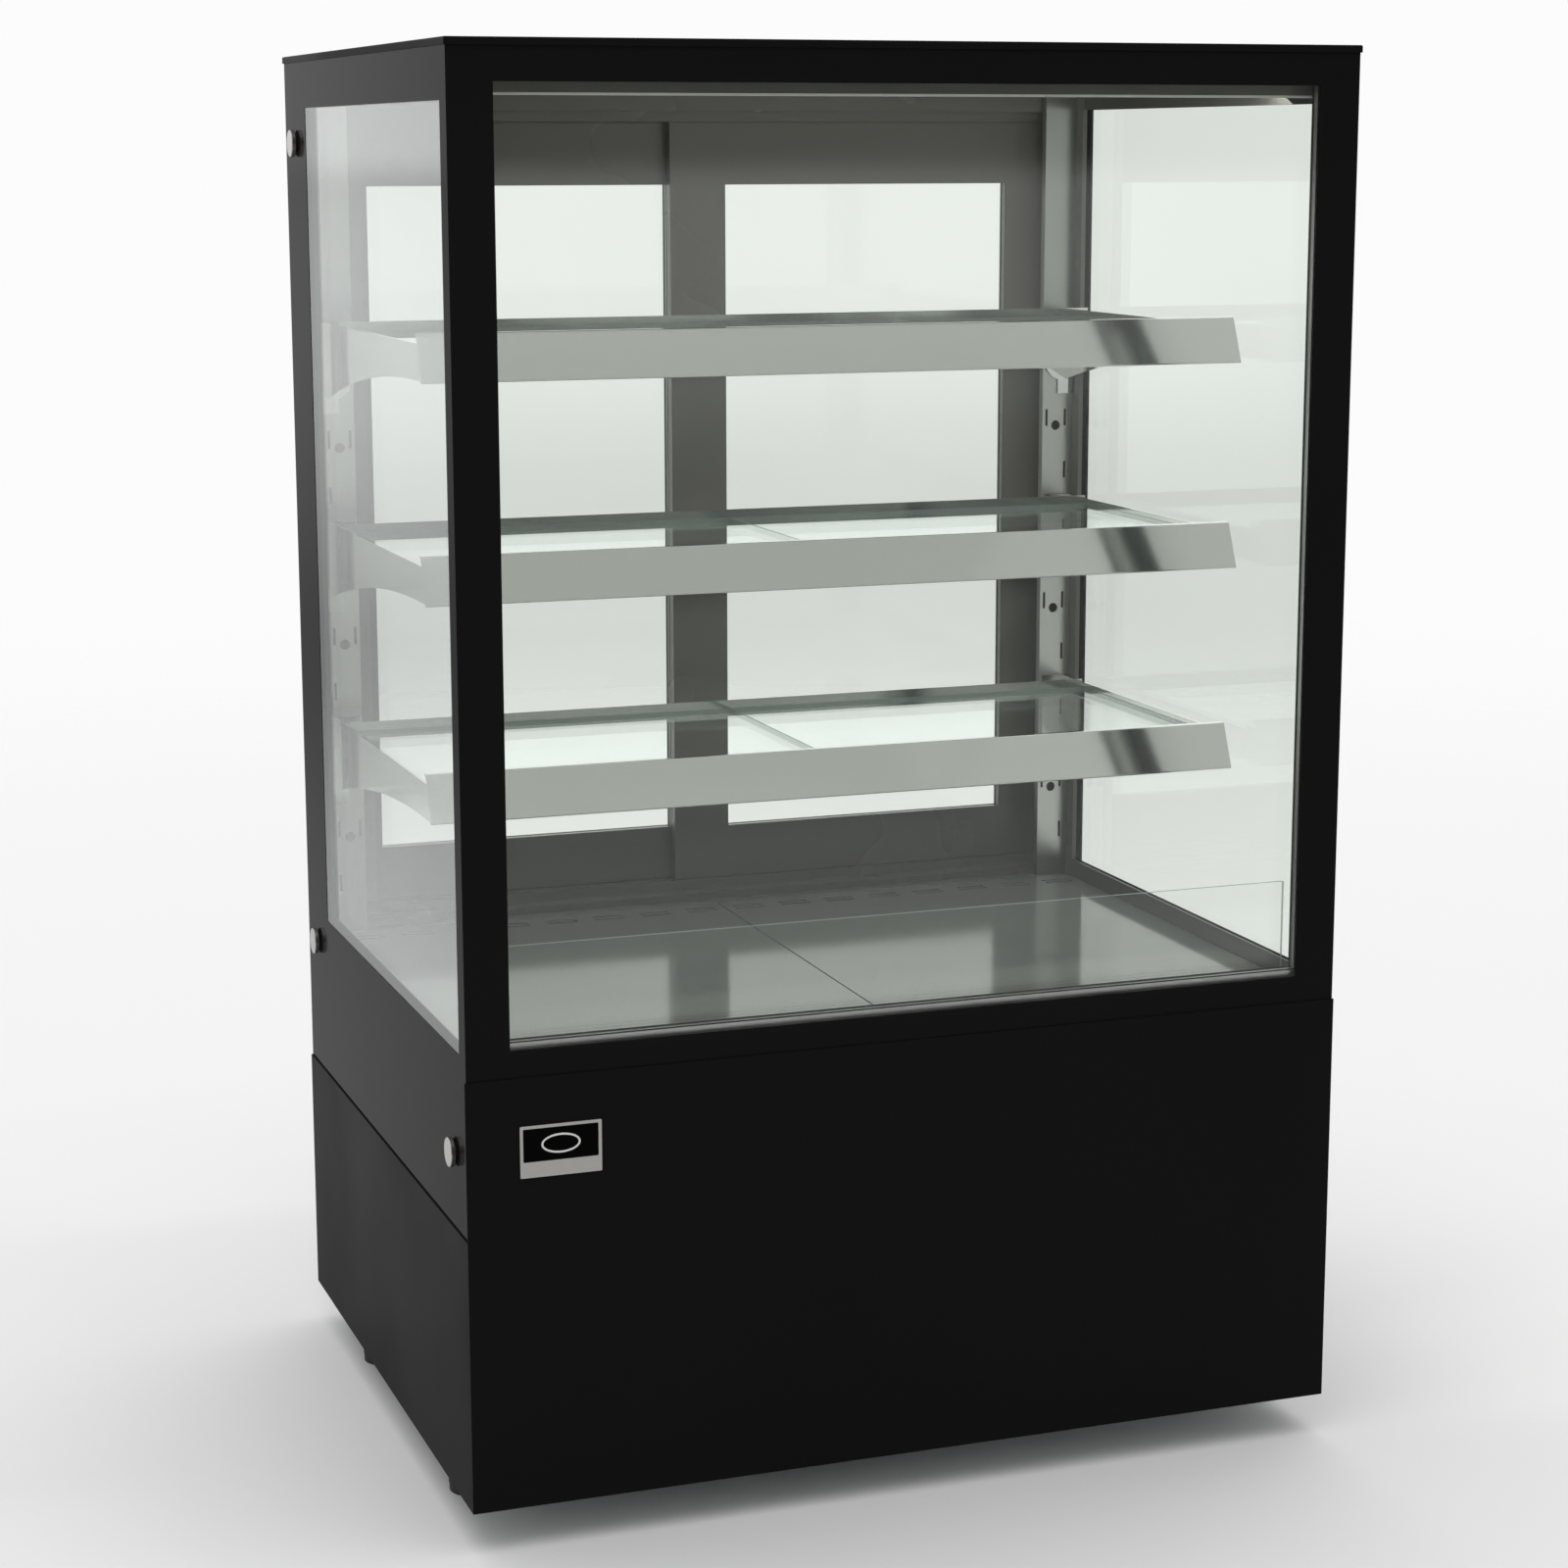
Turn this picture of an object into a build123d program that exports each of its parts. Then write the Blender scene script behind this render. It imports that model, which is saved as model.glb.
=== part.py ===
from build123d import *
import math
import os

# Free-standing refrigerated bakery display case. Millimetres, +Z up.
# X runs left to right as a customer sees it and Y runs from the customer's side to the service side.
# The origin is on the floor, under the middle of the case.

# Overall size
width = 900.0
depth = 700.0
height = 1400.0
ground_clearance = 42.0

# Sheet-metal base
sheet = 1.5
flange = 15.0
front_panel_height = 420.0
side_panel_height = 266.0
pan_thickness = 2.0
pan_lift = 2.0
pan_upstand = 24.0
post_size = 28.0
post_wall = 2.0

# Levelling feet
foot_radius = 22.0
foot_gap = 5.0
foot_inset_x = 39.0
foot_inset_y = 160.0
stem_radius = 6.0
stem_length = 34.0
stem_clearance = 0.4
nut_radius = 13.0
nut_height = 14.0

# Glazing
glass_inset = 1.5
print_thickness = 0.4
front_pane = 6.0
glazing_gap = 12.0
inner_pane = 5.0
inner_pane_inset = 26.0
inner_pane_rise = 18.0
side_pane = 6.0
silicone_gap = 0.5
panel_overlap = 6.0
spacer_width = 10.0
spacer_sight_x = 41.0
spacer_sight_bottom = 32.0
spacer_sight_top = 29.0
rail_thickness = 3.0
rail_leg = 24.0

# Printed borders, measured from the edges of the case
front_band_side = 44.0
front_band_top = 38.0
front_band_bottom = 26.5
side_band_front = 25.0
side_band_rear = 101.0
side_band_top = 54.0
side_band_bottom = 175.0

# Round glass fixings
knob_radius = 14.0
knob_cap = 5.0
knob_stand_off = 2.0
knob_edge_radius = 0.8
knob_neck_radius = 7.0
knob_shank_radius = 4.0
knob_shank_length = 20.0
knob_shank_short = 6.0
knob_hole_clearance = 2.0
knob_edge_rear = 50.0
knob_edge_front = 50.0
knob_below_top = 90.0
knob_rear_low = 408.0
knob_front_low = 341.0

# Badge plate and roof
badge_length = 79.0
badge_height = 50.0
badge_thickness = 1.5
badge_left = 51.0
badge_low = 324.0
badge_rim = 3.0
badge_recess = 0.6
badge_corner = 1.2
badge_bar_share = 0.3
roof_thickness = 7.0
roof_edge_radius = 1.5
ceiling_thickness = 29.0

# Insulated tub and deck
deck_height = 466.0
tub_depth = 226.0
tub_wall = 38.0
tub_front_gap = 0.5
tub_drain_radius = 9.0
tub_drain_inset = 60.0
tray_clearance = 0.3
tray_side_gap = 1.5
tray_joint = 2.0
tray_skirt = 12.0
tray_front_gap = 10.0
tray_rear_gap = 8.0
tray_slot_length = 34.0
tray_slot_width = 5.0
tray_slots = 8
tray_slot_inset = 8.0
tray_slot_step = 11.0
lip_height = 19.0
lip_overlap = 10.0
lip_rear_gap = 0.5
ceiling_lip_drop = 18.0
riser_half_length = 404.0
riser_thickness = 4.0
riser_height = 115.0
riser_wall = 1.0
riser_grip = 10.0

# Rear uprights and shelves
upright_set_back = 80.0
upright_width = 37.0
upright_depth = 10.0
slot_width = 3.0
slot_length = 19.0
slot_column_step = 23.0
hook_levels = (-30.0, -70.0)
slot_levels = (-30.0, -70.0, -132.5)
outer_slot_level = -192.5
upright_hole_level = -141.5
upright_hole_radius = 5.5
shelf_count = 3
deck_extra = 34.5
head_extra = 19.5
shelf_half_length_inset = 21.0
shelf_front_reach = 408.0
shelf_rear_reach = 60.0
strip_height = 46.0
strip_lean = 20.0
strip_hem = 7.0
strip_bend = 1.2
rear_strip_height = 21.0
rear_strip_drop = 5.5
shelf_glass_drop = 14.5
shelf_glass = 6.0
shelf_glass_joint = 2.0
arm_thickness = 2.0
arm_top_drop = 9.0
arm_front_gap = 0.5
arm_middle_height = 46.0
arm_rear_height = 80.0
ledge_width = 15.0
plate_edge = 1.0
plate_sweep = 15.0
plate_sweep_middle = 5.5
plate_tab = 16.0
hook_gap = 1.0
hook_drop = 6.0
hook_play = 0.3
hook_height = 10.0
hook_thickness = 2.0
hook_clearance = 0.5

# Rear frame and sliding doors
frame_wall = 5.0
frame_rear_return = 24.0
rear_return_thickness = 4.0
rear_return_gap = 0.4
frame_front_reach = 98.0
sill_height = 44.0
sill_rise = 6.0
head_height = 49.0
beam_depth = 59.0
track_height = 11.0
track_depth = 36.0
track_floor = 2.0
track_front_wall = 4.0
groove_width = 7.0
door_thickness = 13.0
door_pitch = 15.0
door_stile = 64.0
door_bottom_rail = 59.0
door_top_rail = 67.0
door_edge_gap = 5.0
door_lift_gap = 1.0
tongue_width = 6.0
tongue_height = 7.6
door_pane = 4.0
pane_recess = 7.0
pane_grip = 8.0
pull_length = 120.0
pull_width = 24.0
pull_depth = 8.0
pull_wall = 1.2
pull_rim = 3.0
pull_proud = 0.8

# Rear grille and controls
louvre_length = 150.0
louvre_height = 5.0
louvre_pitch = 14.0
louvre_rows = 10
louvre_gap = 60.0
louvre_low = 34.0
screw_head_radius = 4.5
screw_head_height = 1.6
screw_shank_radius = 2.0
screw_length = 5.0
screw_inset = 8.0
screw_edge_radius = 0.6
grille_gap = 1.0
panel_width = 200.0
panel_height = 62.0
panel_right = 40.0
panel_drop = 22.0
panel_depth = 18.0
panel_rim = 5.0
panel_body_inset = 6.0
panel_corner = 5.0
panel_chamfer = 0.8
controller_length = 74.0
controller_height = 32.0
controller_body = 45.0
controller_inset = 22.0
controller_lip = 3.0
controller_face = 1.2
controller_step = 4.0
window_edge = 9.0
window_reach = 8.0
window_half_height = 7.0
window_recess = 0.6
key_radius = 3.2
key_recess = 0.4
key_start = 14.0
key_step_x = 10.0
key_step_z = 9.0
rocker_radius = 10.0
rocker_length = 13.0
rocker_clearance = 0.5
rocker_tilt = 8.0
rocker_spacing = 34.0
rocker_inset = 32.0
rocker_height_share = 0.55

# Lamp
lamp_width = 20.0
lamp_height = 11.0
diffuser_height = 2.0
lamp_end_gap = 0.5
lamp_front_gap = 2.0
lamp_hollow = 4.0
lamp_tongue = 2.0

# Cooling
compressor_radius = 72.0
compressor_height = 128.0
compressor_dome = 36.0
compressor_plate = 3.0
compressor_plate_half_x = 95.0
compressor_plate_half_y = 72.0
terminal_half = 28.0
terminal_overlap = 6.0
terminal_reach = 22.0
terminal_low = 40.0
terminal_high = 92.0
mount_offset_x = 82.0
mount_offset_y = 58.0
grommet_neck = 3.0
grommet_rise = 4.0
grommet_radius = 9.0
grommet_height = 12.0
fin_thickness = 0.8
fin_pitch = 9.0
fin_count = 30
fin_depth = 44.0
condenser_height = 156.0
evaporator_height = 118.0
coil_tube_radius = 4.5
coil_tube_rows = 4
fan_radius = 64.0
fan_hub_radius = 19.0
fan_hub_length = 22.0
fan_blades = 5
fan_plate_half = 130.0
blade_chord = 42.0
blade_thickness = 2.0
blade_pitch_angle = 28.0
fan_tip_clearance = 4.0
fan_shaft_radius = 3.0
fan_shaft_clearance = 0.3
motor_radius = 29.0
motor_length = 34.0
motor_gap = 3.0
motor_shaft_share = 0.8
fan_gap = 1.0
strut_size = 4.0
strut_reach = 5.0
blade_root = 12.0
pipe_radius = 4.0
pipe_bend = 20.0
pipe_hole_clearance = 1.0
gland_radius = 11.0
gland_bore = 5.0
gland_length = 20.0
gland_nut = 5.0
gland_wall = 2.0
gland_inset = 90.0
gland_lift = 46.0

# Worked out from the sizes above
half_w = width / 2
half_d = depth / 2
skirt_top = ground_clearance + front_panel_height
side_top = ground_clearance + side_panel_height
glass_top = height - roof_thickness
glass_x = half_w - glass_inset
glass_y = -half_d + glass_inset
pane_out_y = glass_y + print_thickness
pane_in_y = pane_out_y + front_pane
inner_out_y = pane_in_y + glazing_gap
inner_in_y = inner_out_y + inner_pane
side_out_x = glass_x - print_thickness
side_in_x = side_out_x - side_pane
side_front_y = pane_in_y + silicone_gap
glass_rear_y = half_d - sheet - 0.1
front_glass_low = skirt_top - panel_overlap
side_glass_low = side_top - panel_overlap
liner_x = side_in_x - frame_wall
liner_front_y = inner_in_y + tub_front_gap
upright_y = half_d - upright_set_back
beam_rear_y = glass_rear_y - rear_return_thickness - rear_return_gap
beam_front_y = beam_rear_y - beam_depth
ceiling_low = glass_top - ceiling_thickness
deck_under = deck_height - sheet
tub_top = deck_under - tray_clearance
tub_low = deck_height - tub_depth
tub_rear_y = beam_front_y
cavity_x = liner_x - tub_wall
cavity_front_y = liner_front_y + tub_wall
cavity_rear_y = tub_rear_y - tub_wall
pan_low = ground_clearance + pan_lift
pan_top = pan_low + pan_thickness
shelf_pitch = (ceiling_low - deck_height - deck_extra - head_extra) / (shelf_count + 1)
shelf_x = half_w - shelf_half_length_inset
strip_top_y = upright_y - shelf_front_reach
rear_strip_y = upright_y - shelf_rear_reach
sill_top = deck_height + sill_rise
head_low = glass_top - head_height
track_rear_y = beam_rear_y
track_front_y = track_rear_y - track_depth
door_low = sill_top + track_height + door_lift_gap
door_high = head_low - track_height - door_lift_gap
inner_door_y = track_front_y + track_front_wall
outer_door_y = inner_door_y + door_pitch
door_outer_x = liner_x - door_edge_gap
door_width = door_outer_x + door_stile / 2
grille_front_y = glass_rear_y
grille_rear_y = grille_front_y + sheet
service_face_y = half_d + badge_thickness

# Places of the cooling plant and of the drip tray under the tub
condenser_x = -330.0
condenser_y = beam_rear_y - sheet - fin_depth - 10.0
condenser_z = pan_top + 6.0
coil_length = fin_pitch * (fin_count - 1) + fin_thickness
coil_tail = 6.0
evaporator_x = -150.0
evaporator_y = 60.0
evaporator_z = tub_low + tub_wall + 8.0
compressor_x = 230.0
compressor_y = 170.0
fan_set_back = 20.0
condenser_fan_place = (condenser_x + coil_length / 2, condenser_y - fan_set_back, condenser_z + 80.0)
evaporator_fan_place = (evaporator_x + coil_length / 2, evaporator_y - fan_set_back, evaporator_z + 74.0)
drip_half = 120.0
drip_front = -290.0
drip_rear = -150.0
drip_lift = 4.0
drip_height = 50.0
drip_wall = 2.0
pipe_rises = ((evaporator_x - coil_tail - 54.0, evaporator_y + 22.0),
              (evaporator_x - coil_tail - 84.0, evaporator_y + 36.0))


def block(x0, x1, y0, y1, z0, z1):
    """A box between two opposite corners."""
    middle = Pos((x0 + x1) / 2, (y0 + y1) / 2, (z0 + z1) / 2)
    return middle * Box(abs(x1 - x0), abs(y1 - y0), abs(z1 - z0))


def rod(radius, length, start, axis):
    """A cylinder that starts at a point and runs along +X, +Y or +Z."""
    turn = {"X": Rot(0, 90, 0), "Y": Rot(-90, 0, 0), "Z": Rot(0, 0, 0)}[axis]
    upright_rod = Pos(0, 0, length / 2) * Cylinder(radius, length)
    return Pos(*start) * turn * upright_rod


def mirrored(piece):
    """A piece and its mirror image across the middle of the case."""
    return [piece, mirror(piece, Plane.YZ)]


def save(node, *pieces):
    """Write the solids of one node to its own file."""
    solids = [solid for piece in pieces for solid in piece.solids()]
    export_step(Compound(solids), f"parts/{node}.step")


def shelf_top(level):
    """Height of the top edge of a shelf's front strip; level 0 is the lowest shelf."""
    return deck_height + deck_extra + shelf_pitch * (level + 1)


# Base: pan, corner posts, skirt panels


def foot_places():
    """Centres of the four feet, with the names of their corners."""
    x = half_w - foot_inset_x
    y = half_d - foot_inset_y
    return {"front_left": (-x, -y), "front_right": (x, -y), "rear_left": (-x, y), "rear_right": (x, y)}


def base_pan():
    """Folded floor pan with a turned-up edge and four threaded bosses for the feet."""
    x = half_w - sheet
    y0 = -half_d + sheet
    y1 = beam_rear_y
    outer = block(-x, x, y0, y1, pan_low, pan_top + pan_upstand)
    inner = block(-x + sheet, x - sheet, y0 + sheet, y1 - sheet, pan_top, pan_top + pan_upstand)
    pan = outer - inner
    for foot_x, foot_y in foot_places().values():
        pan += rod(nut_radius, nut_height, (foot_x, foot_y, pan_top), "Z")
        hole = rod(stem_radius + stem_clearance, nut_height + pan_thickness, (foot_x, foot_y, pan_low), "Z")
        pan -= hole
    return pan


def corner_posts():
    """Square tubes that stand in the pan's corners and carry the tub."""
    x1 = half_w - 2 * sheet
    x0 = x1 - post_size
    front = -half_d + 2 * sheet
    rear = beam_rear_y - sheet - post_size
    posts = []
    for y0 in (front, rear):
        tube = block(x0, x1, y0, y0 + post_size, pan_top, tub_low)
        hollow = block(x0 + post_wall, x1 - post_wall, y0 + post_wall, y0 + post_size - post_wall,
                       pan_top, tub_low)
        posts += mirrored(tube - hollow)
    return posts


def front_panel():
    """Front skirt with a turned-in bottom edge."""
    y0 = -half_d
    face = block(-half_w, half_w, y0, y0 + sheet, ground_clearance, skirt_top)
    turned_x = half_w - sheet
    turned = block(-turned_x, turned_x, y0, y0 + flange, ground_clearance, ground_clearance + sheet)
    panel = face + turned
    upright_edges = panel.edges().filter_by(Axis.Z).group_by(Axis.Y)[0]
    return fillet(upright_edges, sheet * 0.6)


def left_base_panel():
    """Side skirt with turned-in bottom and rear edges."""
    x0 = -half_w
    y0 = -half_d + sheet
    face = block(x0, x0 + sheet, y0, half_d, ground_clearance, side_top)
    bottom = block(x0, x0 + flange, y0 + flange, half_d, ground_clearance, ground_clearance + sheet)
    rear = block(x0, x0 + flange, half_d - sheet, half_d, ground_clearance, side_top)
    return face + bottom + rear


def badge_plate():
    """Blank plate with a raised rim and a raised lower bar."""
    x0 = -half_w + badge_left
    z0 = ground_clearance + badge_low
    y0 = -half_d - badge_thickness
    plate = block(x0, x0 + badge_length, y0, -half_d, z0, z0 + badge_height)
    bar_top = z0 + badge_height * badge_bar_share
    field = block(x0 + badge_rim, x0 + badge_length - badge_rim, y0, y0 + badge_recess,
                  bar_top, z0 + badge_height - badge_rim)
    return fillet(plate.edges().filter_by(Axis.Y), badge_corner) - field


def foot(x, y):
    """Levelling foot: a straight-sided pad and its threaded stem."""
    pad_height = pan_low - foot_gap
    pad = fillet(rod(foot_radius, pad_height, (x, y, 0), "Z").edges(), 1.0)
    stem = rod(stem_radius, stem_length, (x, y, pad_height), "Z")
    return pad + stem


# Tub, deck and lips


def insulated_tub():
    """Foam-filled tub under the deck, with a drain hole and pipe holes in its floor."""
    outer = block(-liner_x, liner_x, liner_front_y, tub_rear_y, tub_low, tub_top)
    inner = block(-cavity_x, cavity_x, cavity_front_y, cavity_rear_y, tub_low + tub_wall, tub_top)
    tub = outer - inner
    tub -= rod(tub_drain_radius, tub_wall, (0, cavity_front_y + tub_drain_inset, tub_low), "Z")
    for x, y in pipe_rises:
        tub -= rod(pipe_radius + pipe_hole_clearance, tub_wall, (x, y, tub_low), "Z")
    for y, z in knob_places():
        if tub_low < z < tub_top and y < tub_rear_y:
            for side in (-1, 1):
                start = min(side * liner_x, side * (liner_x - knob_shank_length))
                tub -= rod(knob_shank_radius, knob_shank_length, (start, y, z), "X")
    return tub


def deck_tray():
    """Left half of the lift-out deck: a sheet with turned-down edges and a row of air slots."""
    x0 = -liner_x + tray_side_gap
    x1 = -tray_joint / 2
    y0 = liner_front_y + 2 * riser_wall + riser_thickness + tray_front_gap
    y1 = upright_y - tray_rear_gap
    top = block(x0, x1, y0, y1, deck_under, deck_height)
    skirt_low = deck_under - tray_skirt
    skirt_x0 = max(x0, -cavity_x + 1.0)
    skirt_y0 = cavity_front_y + 1.0
    skirt_y1 = cavity_rear_y - 1.0
    skirt = block(skirt_x0, x1, skirt_y0, skirt_y1, skirt_low, deck_under)
    skirt -= block(skirt_x0 + sheet, x1 - sheet, skirt_y0 + sheet, skirt_y1 - sheet, skirt_low, deck_under)
    tray = top + skirt
    slot_step = (x1 - x0) / tray_slots
    for row in range(2):
        y = skirt_y1 - tray_slot_inset - row * tray_slot_step
        for index in range(tray_slots):
            x = x0 + slot_step * (index + 0.5)
            tray -= block(x - tray_slot_length / 2, x + tray_slot_length / 2, y - tray_slot_width, y,
                          deck_under, deck_height)
    return tray


def inner_lips():
    """Flat strips beside the side glass that hide the tub's rim and the edge of the ceiling."""
    y0 = liner_front_y
    y1 = half_d - frame_front_reach - lip_rear_gap
    x0 = liner_x
    x1 = liner_x + sheet
    low = block(x0, x1, y0, y1, tub_top - lip_overlap, deck_height + lip_height)
    high = block(x0, x1, y0, y1, ceiling_low - ceiling_lip_drop, ceiling_low + lip_overlap)
    return mirrored(low) + mirrored(high)


def riser_channel():
    """Grooved strip that holds the low front glass."""
    y0 = liner_front_y
    y1 = y0 + 2 * riser_wall + riser_thickness
    x = riser_half_length
    bar = block(-x, x, y0, y1, tub_top, tub_top + 2 * riser_wall + riser_grip)
    groove = block(-x, x, y0 + riser_wall, y1 - riser_wall, tub_top + 2 * riser_wall,
                   tub_top + 2 * riser_wall + riser_grip)
    return bar - groove


def riser_glass():
    """Low clear pane behind the front glass that keeps goods back."""
    y0 = liner_front_y + riser_wall
    x = riser_half_length
    low = tub_top + 2 * riser_wall
    return block(-x, x, y0, y0 + riser_thickness, low, deck_height + riser_height)


# Glazing


def glass_rails():
    """Ledges under the bottom edges of the front and side glass."""
    front = block(-side_in_x + 1.0, side_in_x - 1.0, pane_out_y, inner_in_y,
                  front_glass_low - rail_thickness, front_glass_low)
    front += block(-side_in_x + 1.0, side_in_x - 1.0, inner_in_y - rail_thickness, inner_in_y,
                   front_glass_low - rail_leg, front_glass_low)
    side = block(liner_x, side_out_x, side_front_y, beam_rear_y,
                 side_glass_low - rail_thickness, side_glass_low)
    side += block(liner_x, liner_x + rail_thickness, side_front_y, beam_rear_y,
                  side_glass_low - rail_leg, side_glass_low)
    return [front] + mirrored(side)


def front_pane_outer():
    """Outer pane of the double-glazed front."""
    return block(-side_out_x, side_out_x, pane_out_y, pane_in_y, front_glass_low, glass_top)


def front_pane_inner():
    """Inner pane of the double-glazed front."""
    x = side_out_x - inner_pane_inset
    return block(-x, x, inner_out_y, inner_in_y, front_glass_low, ceiling_low + inner_pane_rise)


def front_spacer():
    """Four aluminium spacer bars between the two front panes."""
    x1 = half_w - spacer_sight_x
    x0 = x1 + spacer_width
    low1 = skirt_top + spacer_sight_bottom
    low0 = low1 - spacer_width
    high1 = glass_top - spacer_sight_top
    high0 = high1 + spacer_width
    bars = mirrored(block(x1, x0, pane_in_y, inner_out_y, low1, high1))
    bars.append(block(-x0, x0, pane_in_y, inner_out_y, low0, low1))
    bars.append(block(-x0, x0, pane_in_y, inner_out_y, high1, high0))
    return bars


def printed_borders():
    """Opaque ceramic print on the outer faces of the front and side glass."""
    front = block(-glass_x, glass_x, glass_y, pane_out_y, front_glass_low, glass_top)
    front -= block(-half_w + front_band_side, half_w - front_band_side, glass_y, pane_out_y,
                   skirt_top + front_band_bottom, height - front_band_top)
    side = block(side_out_x, glass_x, pane_out_y, glass_rear_y, side_glass_low, glass_top)
    side -= block(side_out_x, glass_x, -half_d + side_band_front, half_d - side_band_rear,
                  side_top + side_band_bottom, height - side_band_top)
    for y, z in knob_places():
        side -= rod(knob_neck_radius, print_thickness, (side_out_x, y, z), "X")
    return [front] + mirrored(side)


def knob_places():
    """Y and Z of the three round fixings of one side glass."""
    rear = half_d - knob_edge_rear
    return [(rear, height - knob_below_top),
            (rear, ground_clearance + knob_rear_low),
            (-half_d + knob_edge_front, ground_clearance + knob_front_low)]


def shank_reach(z):
    """How far a fixing reaches inside the frame; it stays short where the service opening is."""
    in_opening = sill_top < z < head_low
    return knob_shank_short if in_opening else knob_shank_length


def right_side_glass():
    """Side pane with three fixing holes."""
    pane = block(side_in_x, side_out_x, side_front_y, glass_rear_y, side_glass_low, glass_top)
    for y, z in knob_places():
        pane -= rod(knob_shank_radius + knob_hole_clearance, side_pane, (side_in_x, y, z), "X")
    return pane


def glass_knobs():
    """Round stainless caps that bolt the side glass to the structure."""
    knobs = []
    for y, z in knob_places():
        neck = rod(knob_neck_radius, knob_stand_off, (side_out_x, y, z), "X")
        cap = rod(knob_radius, knob_cap, (side_out_x + knob_stand_off, y, z), "X")
        cap = fillet(cap.edges(), knob_edge_radius)
        shank_start = liner_x - shank_reach(z)
        shank = rod(knob_shank_radius, side_out_x - shank_start, (shank_start, y, z), "X")
        knobs += mirrored(cap + neck + shank)
    return knobs


def roof_panel():
    """Flat roof over the glass."""
    roof = block(-half_w, half_w, -half_d, half_d, glass_top, height)
    return fillet(roof.edges().group_by(Axis.Z)[-1], roof_edge_radius)


def ceiling_liner():
    """Insulated ceiling between the front glass and the rear frame."""
    return block(-liner_x, liner_x, liner_front_y, beam_front_y, ceiling_low, glass_top)


def lamp_body():
    """Aluminium lamp channel along the top of the front glass."""
    x = liner_x - lamp_end_gap
    y0 = liner_front_y + lamp_front_gap
    bar = block(-x, x, y0, y0 + lamp_width, ceiling_low - lamp_height, ceiling_low)
    hollow = block(-x, x, y0 + sheet, y0 + lamp_width - sheet, ceiling_low - lamp_height,
                   ceiling_low - lamp_height + lamp_hollow)
    return bar - hollow


def lamp_diffuser():
    """Frosted strip that closes the lamp channel."""
    x = liner_x - lamp_end_gap
    y0 = liner_front_y + lamp_front_gap
    low = ceiling_low - lamp_height
    strip = block(-x, x, y0, y0 + lamp_width, low - diffuser_height, low)
    tongue = block(-x, x, y0 + sheet, y0 + lamp_width - sheet, low, low + lamp_tongue)
    return strip + tongue


# Rear frame, doors and uprights


def rear_frame():
    """Two side posts, a sill and a head that frame the service opening."""
    post_front = half_d - frame_front_reach
    post = block(liner_x, side_in_x, post_front, glass_rear_y, side_glass_low, glass_top)
    post += block(side_in_x - frame_rear_return, side_in_x, beam_rear_y + rear_return_gap, glass_rear_y,
                  pan_top, glass_top)
    for y, z in knob_places():
        if y > post_front:
            post -= rod(knob_shank_radius, frame_wall, (liner_x, y, z), "X")
    for x, z in grille_screw_places():
        post -= rod(screw_shank_radius, rear_return_thickness, (x, beam_rear_y + rear_return_gap, z), "Y")
    sill = block(-liner_x, liner_x, beam_front_y, beam_rear_y, sill_top - sill_height, sill_top)
    head = block(-liner_x, liner_x, beam_front_y, beam_rear_y, head_low, glass_top)
    for side in (-1, 1):
        for y, z in knob_places():
            start = min(side * liner_x, side * (liner_x - knob_shank_length))
            bore = rod(knob_shank_radius, knob_shank_length, (start, y, z), "X")
            sill -= bore
            head -= bore
    return mirrored(post) + [sill, head]


def door_tracks():
    """Grooved rails above and below the two doors."""
    low = block(-liner_x, liner_x, track_front_y, track_rear_y, sill_top, sill_top + track_height)
    high = block(-liner_x, liner_x, track_front_y, track_rear_y, head_low - track_height, head_low)
    for door_y in (inner_door_y, outer_door_y):
        middle = door_y + door_thickness / 2
        y0 = middle - groove_width / 2
        y1 = middle + groove_width / 2
        low -= block(-liner_x, liner_x, y0, y1, sill_top + track_floor, sill_top + track_height)
        high -= block(-liner_x, liner_x, y0, y1, head_low - track_height, head_low - track_floor)
    return low, high


def door_frame(door_y):
    """Left door frame: two stiles and two rails, with a tongue top and bottom and a rebate for the pane."""
    x0 = -door_outer_x
    x1 = x0 + door_width
    y1 = door_y + door_thickness
    inner_x0 = x0 + door_stile
    inner_x1 = x1 - door_stile
    low_rail = door_low + door_bottom_rail
    high_rail = door_high - door_top_rail
    pieces = []
    for left, right in ((x0, inner_x0), (inner_x1, x1)):
        stile = block(left, right, door_y, y1, door_low, door_high)
        pieces.append(stile + door_tongue(left, right, door_y, -1) + door_tongue(left, right, door_y, 1))
    low = block(inner_x0, inner_x1, door_y, y1, door_low, low_rail)
    high = block(inner_x0, inner_x1, door_y, y1, high_rail, door_high)
    pieces.append(low + door_tongue(inner_x0, inner_x1, door_y, -1))
    pieces.append(high + door_tongue(inner_x0, inner_x1, door_y, 1))
    pieces = [piece - door_glass(door_y) for piece in pieces]
    pieces[0] -= pull_pocket(x0, y1)
    return pieces


def door_tongue(left, right, door_y, side):
    """Tongue that runs in the lower track (side -1) or in the upper track (side 1)."""
    middle = door_y + door_thickness / 2
    start = door_low if side < 0 else door_high
    return block(left, right, middle - tongue_width / 2, middle + tongue_width / 2,
                 start, start + side * tongue_height)


def door_glass(door_y):
    """Pane of the left door, held in the rebate on all four sides."""
    x0 = -door_outer_x + door_stile - pane_grip
    x1 = -door_outer_x + door_width - door_stile + pane_grip
    z0 = door_low + door_bottom_rail - pane_grip
    z1 = door_high - door_top_rail + pane_grip
    y0 = door_y + pane_recess
    return block(x0, x1, y0, y0 + door_pane, z0, z1)


def pull_pocket(door_x, rear_y):
    """Pocket for the flush pull in the rear face of the left door's outer stile."""
    x = door_x + door_stile / 2
    z = (door_low + door_high) / 2
    return block(x - pull_width / 2, x + pull_width / 2, rear_y - pull_depth, rear_y,
                 z - pull_length / 2, z + pull_length / 2)


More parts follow.
